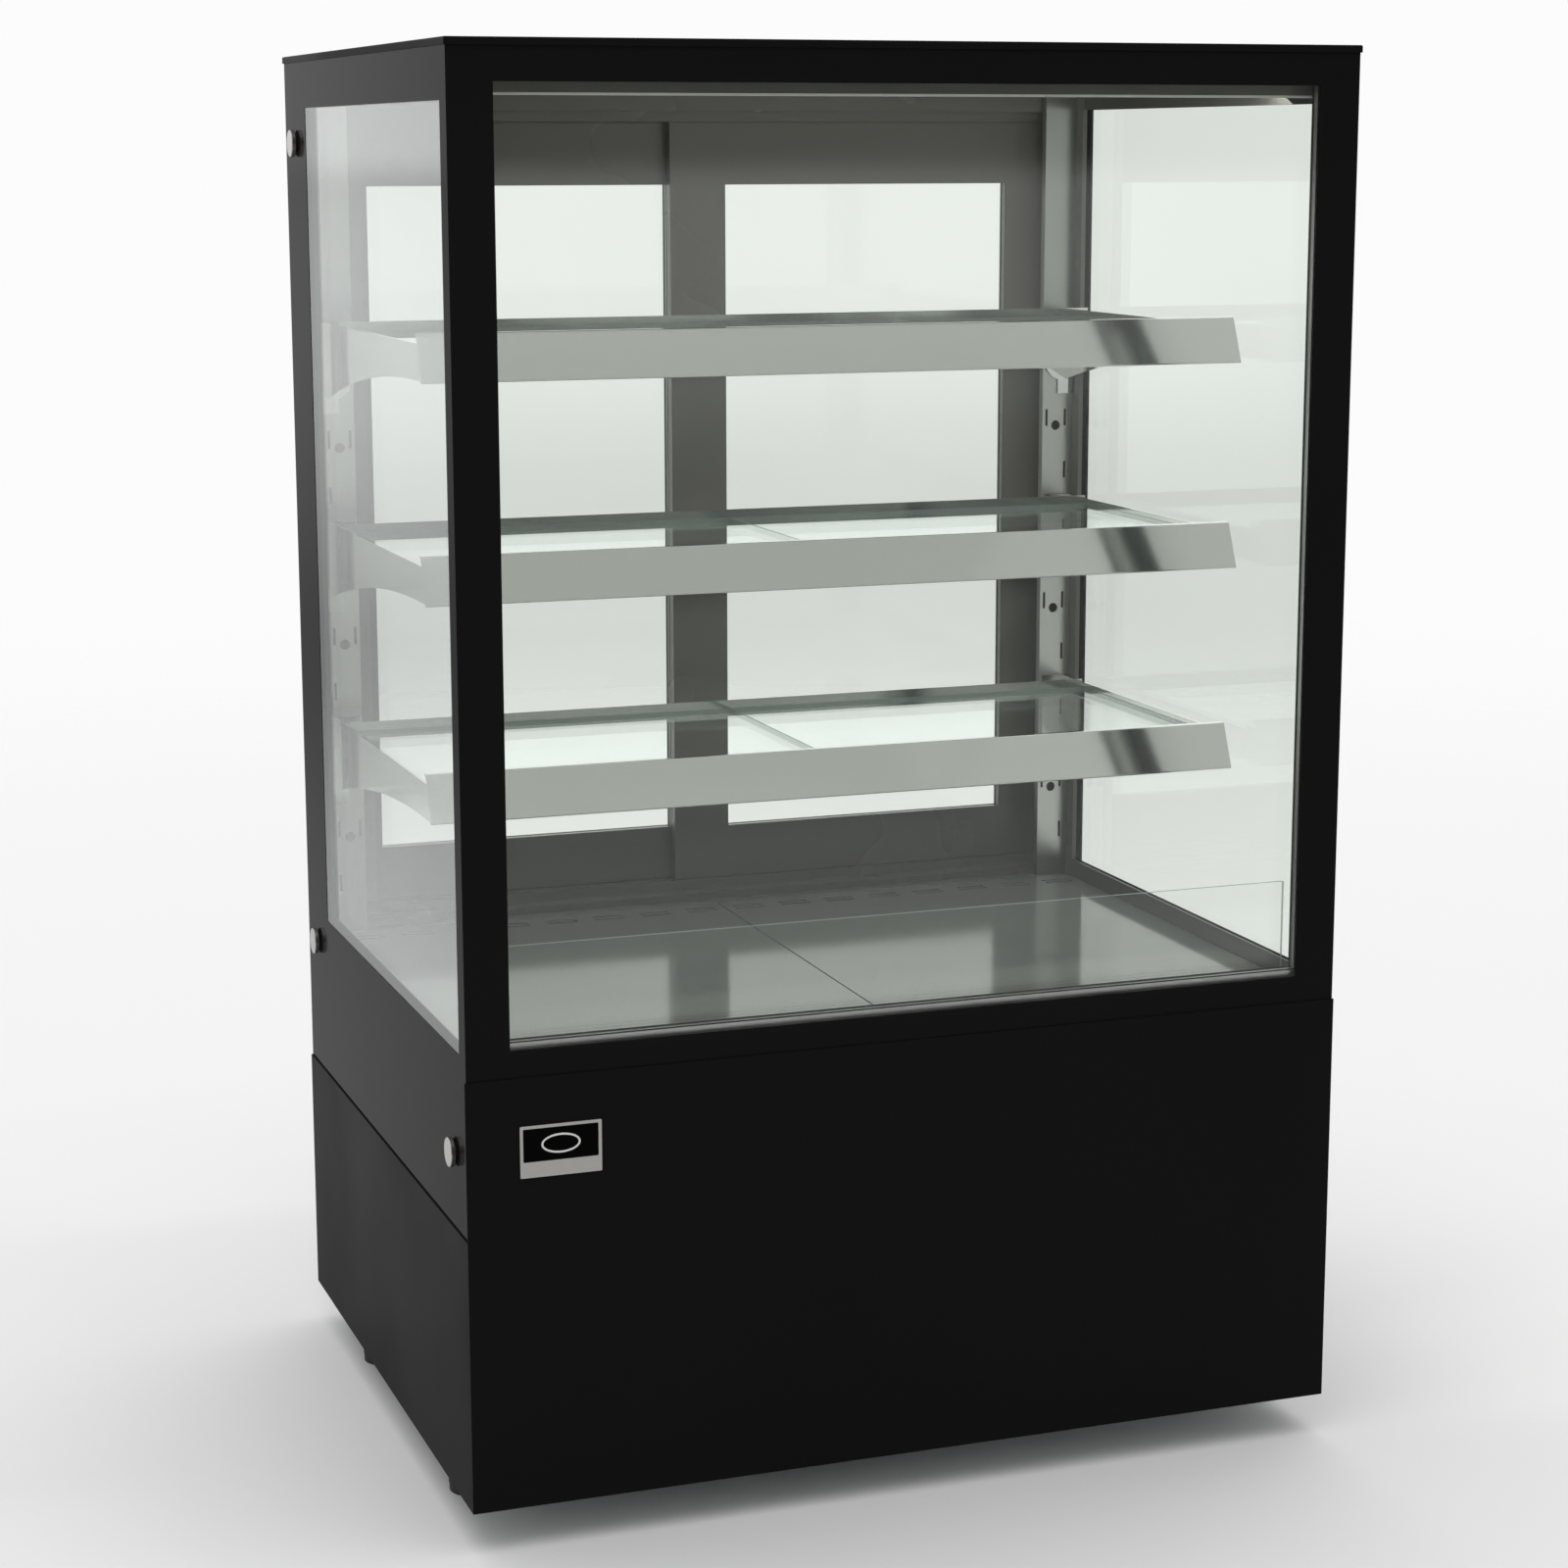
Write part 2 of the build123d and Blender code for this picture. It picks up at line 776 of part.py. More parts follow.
def door_pull(door_y):
    """Flush cup that a hand hooks into to slide the left door."""
    x = -door_outer_x + door_stile / 2
    z = (door_low + door_high) / 2
    rear_y = door_y + door_thickness
    half_x = pull_width / 2
    half_z = pull_length / 2
    cup = block(x - half_x, x + half_x, rear_y - pull_depth, rear_y, z - half_z, z + half_z)
    cup += block(x - half_x - pull_rim, x + half_x + pull_rim, rear_y, rear_y + pull_proud,
                 z - half_z - pull_rim, z + half_z + pull_rim)
    cup = fillet(cup.edges().filter_by(Axis.Y).group_by(Axis.Y)[-1], pull_rim)
    hollow = block(x - half_x + pull_wall, x + half_x - pull_wall, rear_y - pull_depth + pull_wall,
                   rear_y + pull_proud, z - half_z + pull_wall, z + half_z - pull_wall)
    return cup - hollow


def right_upright():
    """Slotted channel that the shelves hook into."""
    x0 = liner_x - upright_width
    x1 = liner_x
    y0 = upright_y
    channel = block(x0, x1, y0, y0 + upright_depth, tub_top, ceiling_low)
    channel -= block(x0 + sheet, x1 - sheet, y0 + sheet, y0 + upright_depth, tub_top, ceiling_low)
    hole_x = (slot_columns()[0] + slot_columns()[1]) / 2
    for level in range(shelf_count):
        top = shelf_top(level)
        slots = [(column, top + offset) for column in slot_columns() for offset in slot_levels]
        slots += [(slot_columns()[1], top + outer_slot_level)]
        for x, z in slots:
            if tub_top + slot_length < z:
                channel -= block(x - slot_width / 2, x + slot_width / 2, y0, y0 + sheet,
                                 z - slot_length / 2, z + slot_length / 2)
        channel -= rod(upright_hole_radius, sheet, (hole_x, y0, top + upright_hole_level), "Y")
    return channel


def slot_columns():
    """X of the two columns of slots in the right upright."""
    outer = shelf_x - arm_thickness / 2
    return outer - slot_column_step, outer


# Shelves


def shelf_frame(level):
    """Two brackets with hooks, a leaning front strip and a rear strip."""
    top = shelf_top(level)
    strip = front_strip(top)
    rear = block(-shelf_x + arm_thickness, shelf_x - arm_thickness, rear_strip_y, rear_strip_y + sheet,
                 top - rear_strip_drop - rear_strip_height, top - rear_strip_drop)
    return [strip, rear] + mirrored(right_bracket(top))


def strip_back(top, z):
    """Y of the front strip's rear face at a height."""
    low_y = strip_top_y - strip_lean + sheet * 1.7
    high_y = strip_top_y + sheet * 1.1
    low_z = top - strip_height + sheet
    high_z = top - sheet
    return low_y + (high_y - low_y) * (z - low_z) / (high_z - low_z)


def front_strip(top):
    """Leaning price strip with a turned-back hem along both edges."""
    y_top = strip_top_y
    y_low = strip_top_y - strip_lean
    low = top - strip_height
    outline = Polyline((y_top, top), (y_low, low), (y_low + strip_hem, low), (y_low + strip_hem, low + sheet),
                       (strip_back(top, low + sheet), low + sheet), (strip_back(top, top - sheet), top - sheet),
                       (y_top + strip_hem, top - sheet), (y_top + strip_hem, top), close=True)
    strip = extrude(Plane.YZ * make_face(outline), shelf_x * 2, dir=(1, 0, 0))
    long_edges = strip.edges().filter_by(Axis.X)
    bends = [long_edges.group_by(Axis.Z)[-1].sort_by(Axis.Y)[0], long_edges.sort_by(Axis.Y)[0]]
    return Pos(-shelf_x, 0, 0) * fillet(bends, strip_bend)


def right_bracket(top):
    """Tapered side arm with a glass ledge, a rear plate and two hooks."""
    rear_y = upright_y - hook_gap
    arm_top = top - arm_top_drop
    front_z = top - strip_height + sheet + arm_front_gap
    front_low = (strip_back(top, front_z), front_z)
    ledge_y = strip_top_y + strip_hem
    middle = ((ledge_y + rear_y) / 2, arm_top - arm_middle_height)
    x1 = shelf_x
    x0 = x1 - arm_thickness
    upper = Polyline(front_low, (strip_back(top, arm_top), arm_top), (rear_y, arm_top),
                     (rear_y, arm_top - arm_rear_height))
    lower = ThreePointArc((rear_y, arm_top - arm_rear_height), middle, front_low)
    arm = Plane.YZ * make_face(upper + lower)
    bracket = Pos(x0, 0, 0) * extrude(arm, arm_thickness, dir=(1, 0, 0))
    glass_under = top - shelf_glass_drop - shelf_glass
    bracket += block(x0 - ledge_width, x0, ledge_y, rear_y, glass_under - arm_thickness, glass_under)
    bracket += rear_plate(rear_y, arm_top)
    for column in slot_columns():
        for offset in hook_levels:
            bracket += hook(column, top + offset, rear_y)
    return bracket


def rear_plate(rear_y, arm_top):
    """Plate across the rear end of an arm, with one corner swept away and a short tab."""
    x0 = slot_columns()[0] - slot_width / 2 - plate_edge
    x1 = liner_x - plate_edge
    tab_x = x0 + plate_sweep
    low = arm_top - arm_rear_height
    edge = Polyline((x0, low + plate_sweep), (x0, arm_top), (x1, arm_top), (x1, low - plate_tab),
                    (tab_x, low - plate_tab), (tab_x, low))
    sweep_middle = (x0 + plate_sweep_middle, low + plate_sweep_middle)
    corner = ThreePointArc((tab_x, low), sweep_middle, (x0, low + plate_sweep))
    face = Plane.XZ * make_face(edge + corner)
    return Pos(0, rear_y - arm_thickness, 0) * extrude(face, arm_thickness, dir=(0, 1, 0))


def hook(x, z, rear_y):
    """Hook that passes through a slot and drops behind the upright's face."""
    half = arm_thickness / 2
    slot_low = z - slot_length / 2 + hook_play
    behind = upright_y + sheet + hook_clearance
    tab = block(x - half, x + half, rear_y, behind + hook_thickness, slot_low, slot_low + hook_height)
    drop = block(x - half, x + half, behind, behind + hook_thickness, slot_low - hook_drop, slot_low)
    return tab + drop


def shelf_panes(level):
    """Two glass panes that lie on the ledges and meet at the middle."""
    z1 = shelf_top(level) - shelf_glass_drop
    x0 = shelf_glass_joint / 2
    x1 = shelf_x - arm_thickness - 1.0
    pane = block(x0, x1, strip_top_y + strip_hem + 0.5, rear_strip_y - 1.0, z1 - shelf_glass, z1)
    return mirrored(pane)


# Service side


def panel_box():
    """X and Z limits of the control panel in the rear grille."""
    x1 = liner_x - panel_right
    z1 = sill_top - sill_height - panel_drop
    return x1 - panel_width, x1, z1 - panel_height, z1


def grille_screw_places():
    """X and Z of the grille's fixing screws, over the turned-in edges of the rear posts."""
    x = grille_half_x() - screw_inset
    z0 = pan_top + screw_inset
    z1 = grille_high() - screw_inset
    return [(side * x, z) for side in (-1, 1) for z in (z0, (z0 + z1) / 2, z1)]


def grille_half_x():
    """Half length of the rear grille, which fits between the turned-in edges of the side panels."""
    return half_w - flange - grille_gap


def grille_high():
    """Top edge of the rear grille."""
    return sill_top - sill_height - grille_gap


def rear_grille():
    """Removable rear cover with rows of air slots, a control cut-out and a cable hole."""
    x = grille_half_x()
    plate = block(-x, x, grille_front_y, grille_rear_y, pan_top, grille_high())
    row_low = pan_top + louvre_low
    for column in (-1, 0, 1):
        for row in range(louvre_rows):
            z = row_low + row * louvre_pitch
            x_mid = column * (louvre_length + louvre_gap)
            plate -= block(x_mid - louvre_length / 2, x_mid + louvre_length / 2, grille_front_y, grille_rear_y,
                           z, z + louvre_height)
    x0, x1, z0, z1 = panel_box()
    plate -= block(x0 + panel_rim, x1 - panel_rim, grille_front_y, grille_rear_y,
                   z0 + panel_rim, z1 - panel_rim)
    plate -= rod(gland_radius - gland_wall, sheet, gland_start(grille_front_y), "Y")
    for screw_x, screw_z in grille_screw_places():
        plate -= rod(screw_shank_radius, sheet, (screw_x, grille_front_y, screw_z), "Y")
    return plate


def grille_screws():
    """Pan-head screws that hold the grille."""
    screws = []
    for x, z in grille_screw_places():
        head = rod(screw_head_radius, screw_head_height, (x, grille_rear_y, z), "Y")
        head = fillet(head.edges(), screw_edge_radius)
        shank = rod(screw_shank_radius, screw_length, (x, grille_rear_y - screw_length, z), "Y")
        screws.append(head + shank)
    return screws


def gland_start(y):
    """Centre of the cable gland on a plane of constant Y."""
    return -half_w + gland_inset, y, pan_top + gland_lift


def cable_gland():
    """Threaded gland with a bore for the supply cable."""
    hexagon = extrude(RegularPolygon(gland_radius, 6), gland_nut)
    nut = Pos(*gland_start(grille_rear_y)) * Rot(-90, 0, 0) * hexagon
    body = rod(gland_radius - gland_wall, gland_length, gland_start(grille_rear_y - gland_length + 4.0), "Y")
    bore = rod(gland_bore, gland_length * 2, gland_start(grille_rear_y - gland_length), "Y")
    return nut + body - bore


def rocker_centres():
    """X, Y and Z of the pivots of the two rocker switches."""
    x0, x1, z0, z1 = panel_box()
    x = x0 + rocker_inset
    z = (z0 + z1) / 2
    y = service_face_y - rocker_radius * rocker_height_share
    return {"power": (x, y, z), "light": (x + rocker_spacing, y, z)}


def controller_centre():
    """X and Z of the middle of the temperature controller."""
    x0, x1, z0, z1 = panel_box()
    return x1 - controller_inset - controller_length / 2, (z0 + z1) / 2


def control_panel():
    """Deep bezel with openings for the controller and the two rockers."""
    x0, x1, z0, z1 = panel_box()
    bezel = block(x0, x1, grille_rear_y, service_face_y, z0, z1)
    bezel = fillet(bezel.edges().filter_by(Axis.Y), panel_corner)
    bezel = chamfer(bezel.faces().sort_by(Axis.Y)[-1].edges(), panel_chamfer)
    bezel += block(x0 + panel_body_inset, x1 - panel_body_inset, grille_rear_y - panel_depth, grille_rear_y,
                   z0 + panel_body_inset, z1 - panel_body_inset)
    cx, cz = controller_centre()
    half_x = controller_length / 2 - controller_lip
    half_z = controller_height / 2 - controller_lip
    bezel -= block(cx - half_x, cx + half_x, grille_rear_y - panel_depth, service_face_y,
                   cz - half_z, cz + half_z)
    reach = rocker_radius + rocker_clearance
    half = rocker_length / 2 + rocker_clearance
    for x, y, z in rocker_centres().values():
        bezel -= block(x - half, x + half, grille_rear_y - panel_depth, service_face_y, z - reach, z + reach)
    return bezel


def temperature_controller():
    """Digital controller: a thin face with a window and a long body behind it."""
    cx, cz = controller_centre()
    half_x = controller_length / 2
    half_z = controller_height / 2
    face_x = half_x - controller_lip
    face_z = half_z - controller_lip
    body_x = half_x - controller_step
    body_z = half_z - controller_step
    y0 = service_face_y - controller_face
    face = block(cx - face_x, cx + face_x, y0, service_face_y, cz - face_z, cz + face_z)
    body = block(cx - body_x, cx + body_x, y0 - controller_body, y0, cz - body_z, cz + body_z)
    window = block(cx - half_x + window_edge, cx + window_reach, service_face_y - window_recess, service_face_y,
                   cz - window_half_height, cz + window_half_height)
    controller = face + body - window
    for index in range(4):
        key_x = cx + key_start + (index % 2) * key_step_x
        key_z = cz + key_step_z / 2 - (index // 2) * key_step_z
        controller -= rod(key_radius, key_recess, (key_x, service_face_y - key_recess, key_z), "Y")
    return controller


def rocker(centre):
    """Rocker key: part of a disc about its pivot, with two flats meeting in a shallow valley."""
    x, y, z = centre
    disc = rod(rocker_radius, rocker_length, (x - rocker_length / 2, y, z), "X")
    keep = Pos(x, y, z) * Box(rocker_length, 4 * rocker_radius, 2 * rocker_radius)
    rear = y + rocker_radius * rocker_height_share
    for side in (-1, 1):
        cutter = block(-rocker_length, rocker_length, 0, rocker_radius * 2, -rocker_radius * 2,
                       rocker_radius * 2)
        disc -= Pos(x, rear, z) * Rot(side * rocker_tilt, 0, 0) * cutter
    key = disc & keep
    return Pos(x, y, z) * Rot(rocker_tilt, 0, 0) * Pos(-x, -y, -z) * key


# Cooling plant


def coil(x0, y0, z0, high):
    """Fin-and-tube coil: upright fins on straight tubes."""
    fins = [block(x0 + index * fin_pitch, x0 + index * fin_pitch + fin_thickness, y0, y0 + fin_depth, z0,
                  z0 + high) for index in range(fin_count)]
    tubes = []
    row_step = high / coil_tube_rows
    for row in range(coil_tube_rows):
        for y in (y0 + fin_depth * 0.27, y0 + fin_depth * 0.73):
            z = z0 + row_step * (row + 0.5)
            tubes.append(rod(coil_tube_radius, coil_length + 2 * coil_tail, (x0 - coil_tail, y, z), "X"))
    return Part() + fins + tubes


def fan_plate(x, y, z, half_x, z0, z1):
    """Plate with a round opening and three struts that hold the fan motor in front of it."""
    plate = block(x - half_x, x + half_x, y, y + sheet, z0, z1)
    reach = fan_radius + fan_tip_clearance
    plate -= rod(reach, sheet, (x, y, z), "Y")
    motor_y = -fan_gap - fan_hub_length - motor_gap - motor_length
    strut_y = motor_y + motor_length / 2
    for index in range(3):
        strut = block(motor_radius - strut_size, reach + strut_reach, strut_y, strut_y + strut_size,
                      -strut_size, strut_size)
        stay = block(reach + 1.0, reach + strut_reach, strut_y, 0, -strut_size, strut_size)
        plate += Pos(x, y, z) * Rot(0, 90 + 120 * index, 0) * (strut + stay)
    motor = rod(motor_radius, motor_length, (x, y + motor_y, z), "Y")
    bore = rod(fan_shaft_radius + fan_shaft_clearance, motor_length, (x, y + motor_y, z), "Y")
    return plate + motor - bore


def fan(x, y, z):
    """Axial fan: hub, pitched blades and the shaft that turns in the motor."""
    hub_y = -fan_gap - fan_hub_length
    hub = rod(fan_hub_radius, fan_hub_length, (0, hub_y, 0), "Y")
    envelope = rod(fan_radius, fan_hub_length * 3, (0, hub_y - fan_hub_length, 0), "Y")
    blade = Pos(fan_radius / 2 + blade_root, 0, 0) * Rot(blade_pitch_angle, 0, 0)
    blade *= Box(fan_radius, blade_thickness, blade_chord)
    wheel = hub
    for index in range(fan_blades):
        turned = Rot(0, 360 / fan_blades * index, 0) * blade
        wheel += (Pos(0, hub_y + fan_hub_length / 2, 0) * turned) & envelope
    shaft_length = motor_gap + motor_length * motor_shaft_share
    wheel += rod(fan_shaft_radius, shaft_length, (0, hub_y - shaft_length, 0), "Y")
    return Pos(x, y, z) * wheel


def compressor():
    """Domed hermetic shell on a base plate, with a terminal box."""
    x = compressor_x
    y = compressor_y
    z0 = pan_top + grommet_height
    plate = block(x - compressor_plate_half_x, x + compressor_plate_half_x,
                  y - compressor_plate_half_y, y + compressor_plate_half_y, z0, z0 + compressor_plate)
    shell = rod(compressor_radius, compressor_height, (x, y, z0 + compressor_plate), "Z")
    shell = fillet(shell.edges().sort_by(Axis.Z)[-1], compressor_dome)
    terminals = block(x - terminal_half, x + terminal_half, y + compressor_radius - terminal_overlap,
                      y + compressor_radius + terminal_reach, z0 + terminal_low, z0 + terminal_high)
    unit = plate + shell + terminals
    for dx, dy in grommet_offsets():
        unit -= rod(grommet_radius - grommet_neck, compressor_plate, (x + dx, y + dy, z0), "Z")
    return unit


def grommet_offsets():
    """Offsets of the compressor's four mounts from its centre."""
    return [(dx, dy) for dx in (-mount_offset_x, mount_offset_x)
            for dy in (-mount_offset_y, mount_offset_y)]


def compressor_mounts():
    """Rubber bushes under the compressor plate."""
    x = compressor_x
    y = compressor_y
    bushes = []
    for dx, dy in grommet_offsets():
        base = rod(grommet_radius, grommet_height, (x + dx, y + dy, pan_top), "Z")
        neck = rod(grommet_radius - grommet_neck, compressor_plate + grommet_rise,
                   (x + dx, y + dy, pan_top + grommet_height), "Z")
        bushes.append(base + neck)
    return bushes


def drain_pan():
    """Open tray under the tub that catches melt water."""
    z0 = pan_top + drip_lift
    z1 = z0 + drip_height
    outer = block(-drip_half, drip_half, drip_front, drip_rear, z0, z1)
    inner = block(-drip_half + drip_wall, drip_half - drip_wall, drip_front + drip_wall, drip_rear - drip_wall,
                  z0 + drip_wall, z1)
    return outer - inner


def shell_side(y_offset):
    """X of the compressor shell's left side, just clear of a pipe that meets it off its middle."""
    near = abs(y_offset) - pipe_radius
    return compressor_x - math.sqrt(compressor_radius ** 2 - near ** 2)


def refrigerant_pipes():
    """Copper pipes: suction line, liquid line and discharge line."""
    suction_z = pan_top + 104.0
    liquid_z = pan_top + 74.0
    discharge_z = pan_top + 60.0
    coil_right = condenser_x + coil_length + coil_tail
    coil_left = evaporator_x - coil_tail
    (rise_a_x, rise_a_y), (rise_b_x, rise_b_y) = pipe_rises
    suction = [(shell_side(20.0), compressor_y - 20.0, suction_z),
               (shell_side(20.0) - 60.0, compressor_y - 20.0, suction_z),
               (shell_side(20.0) - 60.0, rise_a_y, suction_z),
               (rise_a_x, rise_a_y, suction_z),
               (rise_a_x, rise_a_y, evaporator_z + 24.0),
               (coil_left, rise_a_y, evaporator_z + 24.0)]
    liquid = [(coil_right, condenser_y + 12.0, liquid_z),
              (coil_right + 44.0, condenser_y + 12.0, liquid_z),
              (coil_right + 44.0, rise_b_y, liquid_z),
              (rise_b_x, rise_b_y, liquid_z),
              (rise_b_x, rise_b_y, evaporator_z + 60.0),
              (coil_left, rise_b_y, evaporator_z + 60.0)]
    discharge = [(shell_side(16.0), compressor_y + 16.0, discharge_z),
                 (shell_side(16.0) - 90.0, compressor_y + 16.0, discharge_z),
                 (shell_side(16.0) - 90.0, condenser_y + 32.0, discharge_z),
                 (coil_right, condenser_y + 32.0, discharge_z)]
    pipes = []
    for route in (suction, liquid, discharge):
        path = FilletPolyline(*route, radius=pipe_bend)
        start = Plane(origin=path @ 0, z_dir=path % 0)
        pipes.append(sweep(start * Circle(pipe_radius), path))
    return pipes


os.makedirs("parts", exist_ok=True)

save("base_pan", base_pan())
save("corner_posts", *corner_posts())
save("front_panel", front_panel())
save("left_base_panel", left_base_panel())
save("right_base_panel", mirror(left_base_panel(), Plane.YZ))
save("badge_plate", badge_plate())
for corner, place in foot_places().items():
    save(f"foot_{corner}", foot(*place))
save("insulated_tub", insulated_tub())
save("deck_tray_left", deck_tray())
save("deck_tray_right", mirror(deck_tray(), Plane.YZ))
save("inner_lips", *inner_lips())
save("riser_channel", riser_channel())
save("riser_glass", riser_glass())
save("glass_rails", *glass_rails())
save("front_pane_outer", front_pane_outer())
save("front_pane_inner", front_pane_inner())
save("front_spacer", *front_spacer())
save("printed_borders", *printed_borders())
save("right_side_glass", right_side_glass())
save("left_side_glass", mirror(right_side_glass(), Plane.YZ))
save("glass_knobs", *glass_knobs())
save("roof_panel", roof_panel())
save("ceiling_liner", ceiling_liner())
save("lamp_body", lamp_body())
save("lamp_diffuser", lamp_diffuser())
save("rear_frame", *rear_frame())
save("door_tracks", *door_tracks())
save("door_left_frame", *door_frame(outer_door_y))
save("door_left_glass", door_glass(outer_door_y))
save("door_left_pull", door_pull(outer_door_y))
save("door_right_frame", *[mirror(piece, Plane.YZ) for piece in door_frame(inner_door_y)])
save("door_right_glass", mirror(door_glass(inner_door_y), Plane.YZ))
save("door_right_pull", mirror(door_pull(inner_door_y), Plane.YZ))
save("uprights", *mirrored(right_upright()))
for level in range(shelf_count):
    save(f"shelf_{level + 1}_frame", *shelf_frame(level))
    save(f"shelf_{level + 1}_glass", *shelf_panes(level))
save("rear_grille", rear_grille())
save("grille_screws", *grille_screws())
save("cable_gland", cable_gland())
save("control_panel", control_panel())
save("temperature_controller", temperature_controller())
for name, centre in rocker_centres().items():
    save(f"{name}_rocker", rocker(centre))
save("compressor", compressor())
save("compressor_mounts", *compressor_mounts())
save("condenser_coil", coil(condenser_x, condenser_y, condenser_z, condenser_height))
save("condenser_fan_plate", fan_plate(*condenser_fan_place, fan_plate_half, pan_top, tub_low - 4.0))
save("condenser_fan", fan(*condenser_fan_place))
save("evaporator_coil", coil(evaporator_x, evaporator_y, evaporator_z, evaporator_height))
save("evaporator_fan_plate", fan_plate(*evaporator_fan_place, fan_plate_half, tub_low + tub_wall,
                                       deck_under - tray_skirt - 2.0))
save("evaporator_fan", fan(*evaporator_fan_place))
save("drain_pan", drain_pan())
save("refrigerant_pipes", *refrigerant_pipes())
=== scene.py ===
import math

import bmesh
import bpy
from mathutils import Matrix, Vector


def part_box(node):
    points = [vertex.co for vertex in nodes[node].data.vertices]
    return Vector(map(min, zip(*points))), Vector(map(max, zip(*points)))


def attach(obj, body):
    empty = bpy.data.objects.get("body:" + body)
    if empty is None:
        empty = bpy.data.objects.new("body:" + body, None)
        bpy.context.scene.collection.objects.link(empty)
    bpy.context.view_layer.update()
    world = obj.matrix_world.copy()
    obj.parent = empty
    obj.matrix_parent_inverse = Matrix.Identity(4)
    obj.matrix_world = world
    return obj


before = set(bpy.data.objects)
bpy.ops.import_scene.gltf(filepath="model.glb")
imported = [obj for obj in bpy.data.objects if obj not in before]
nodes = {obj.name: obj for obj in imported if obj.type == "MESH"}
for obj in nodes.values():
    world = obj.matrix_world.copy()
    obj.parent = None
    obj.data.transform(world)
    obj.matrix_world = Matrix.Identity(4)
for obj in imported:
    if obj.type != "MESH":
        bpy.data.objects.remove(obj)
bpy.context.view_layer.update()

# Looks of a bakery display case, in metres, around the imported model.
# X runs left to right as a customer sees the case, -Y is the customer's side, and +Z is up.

scene = bpy.context.scene

# ---------------------------------------------------------------- camera, angles in degrees

CAMERA_PLACE = (-1.16447, -3.20278, 1.30331)
CAMERA_YAW = 19.785
CAMERA_PITCH = 10.865
CAMERA_ROLL = -0.097
CAMERA_LENS = 75.93
SENSOR = 36.0


def make_camera():
    """A camera in front of the case's left corner: yaw runs from +Y towards +X, and pitch downwards."""
    data = bpy.data.cameras.new("camera")
    data.lens = CAMERA_LENS
    data.sensor_width = SENSOR
    camera = bpy.data.objects.new("camera", data)
    scene.collection.objects.link(camera)
    yaw, pitch, roll = (math.radians(v) for v in (CAMERA_YAW, CAMERA_PITCH, CAMERA_ROLL))
    turn = Matrix.Rotation(-yaw, 4, "Z") @ Matrix.Rotation(math.pi / 2 - pitch, 4, "X")
    turn = turn @ Matrix.Rotation(roll, 4, "Z")
    camera.matrix_world = Matrix.Translation(CAMERA_PLACE) @ turn
    scene.camera = camera


# ---------------------------------------------------------------- shader helpers


def add(tree, kind, inputs=None, **settings):
    """Adds a node, sets its settings, and fills its inputs with numbers or links them to sockets."""
    made = tree.nodes.new(kind)
    for name, value in settings.items():
        setattr(made, name, value)
    for name, value in (inputs or {}).items():
        socket = made.inputs[name]
        if isinstance(value, bpy.types.NodeSocket):
            tree.links.new(value, socket)
        else:
            socket.default_value = value
    return made


def calc(tree, operation, *values):
    """The result of one Math node."""
    return add(tree, "ShaderNodeMath", dict(enumerate(values)), operation=operation).outputs[0]


def product(tree, *values):
    """The product of several values."""
    result = values[0]
    for value in values[1:]:
        result = calc(tree, "MULTIPLY", result, value)
    return result


def ramp(tree, value, start, end, low=0.0, high=1.0):
    """A smooth step from low to high while value runs from start to end."""
    limits = {"Value": value, "From Min": start, "From Max": end, "To Min": low, "To Max": high}
    return add(tree, "ShaderNodeMapRange", limits, interpolation_type="SMOOTHSTEP").outputs["Result"]


def new_material(name):
    """An empty node material and its output node."""
    material = bpy.data.materials.new(name)
    material.use_nodes = True
    tree = material.node_tree
    tree.nodes.clear()
    return material, tree, tree.nodes.new("ShaderNodeOutputMaterial")


def metres(tree, scale=(1, 1, 1)):
    """Coordinates in metres in the case's frame, stretched along its axes."""
    place = add(tree, "ShaderNodeTexCoord").outputs["Object"]
    return add(tree, "ShaderNodeMapping", {"Vector": place, "Scale": scale}).outputs["Vector"]


def noise(tree, vector, scale, detail):
    """Procedural noise from 0 to 1."""
    made = add(tree, "ShaderNodeTexNoise", {"Vector": vector, "Scale": scale, "Detail": detail})
    return made.outputs["Fac"]


def tint(tree, value, dark, light):
    """A colour between two, by a value from 0 to 1."""
    made = add(tree, "ShaderNodeMix", data_type="RGBA")
    tree.links.new(value, made.inputs["Factor"])
    made.inputs["A"].default_value = (*dark, 1)
    made.inputs["B"].default_value = (*light, 1)
    return made.outputs["Result"]


def shade(colour, share):
    """A colour made lighter or darker by a share."""
    return tuple(min(1.0, c * share) for c in colour)


def bumped(tree, height, distance, strength):
    """A normal that follows a height map."""
    height_map = {"Height": height, "Distance": distance, "Strength": strength}
    return add(tree, "ShaderNodeBump", height_map).outputs[0]


COAT_BUMP = 0.6
BRUSH_BUMP = 0.5
DRIFT_SCALE = 3.0
CLOUD_SCALE = 4.0
SMEAR_SCALE = 5.0
STREAK_SHARE = 0.7
CLOUD_SHARE = 0.3
NOISE_LOW = 0.3
NOISE_HIGH = 0.7
SMOOTHEST = 0.9
ROUGHEST = 1.12


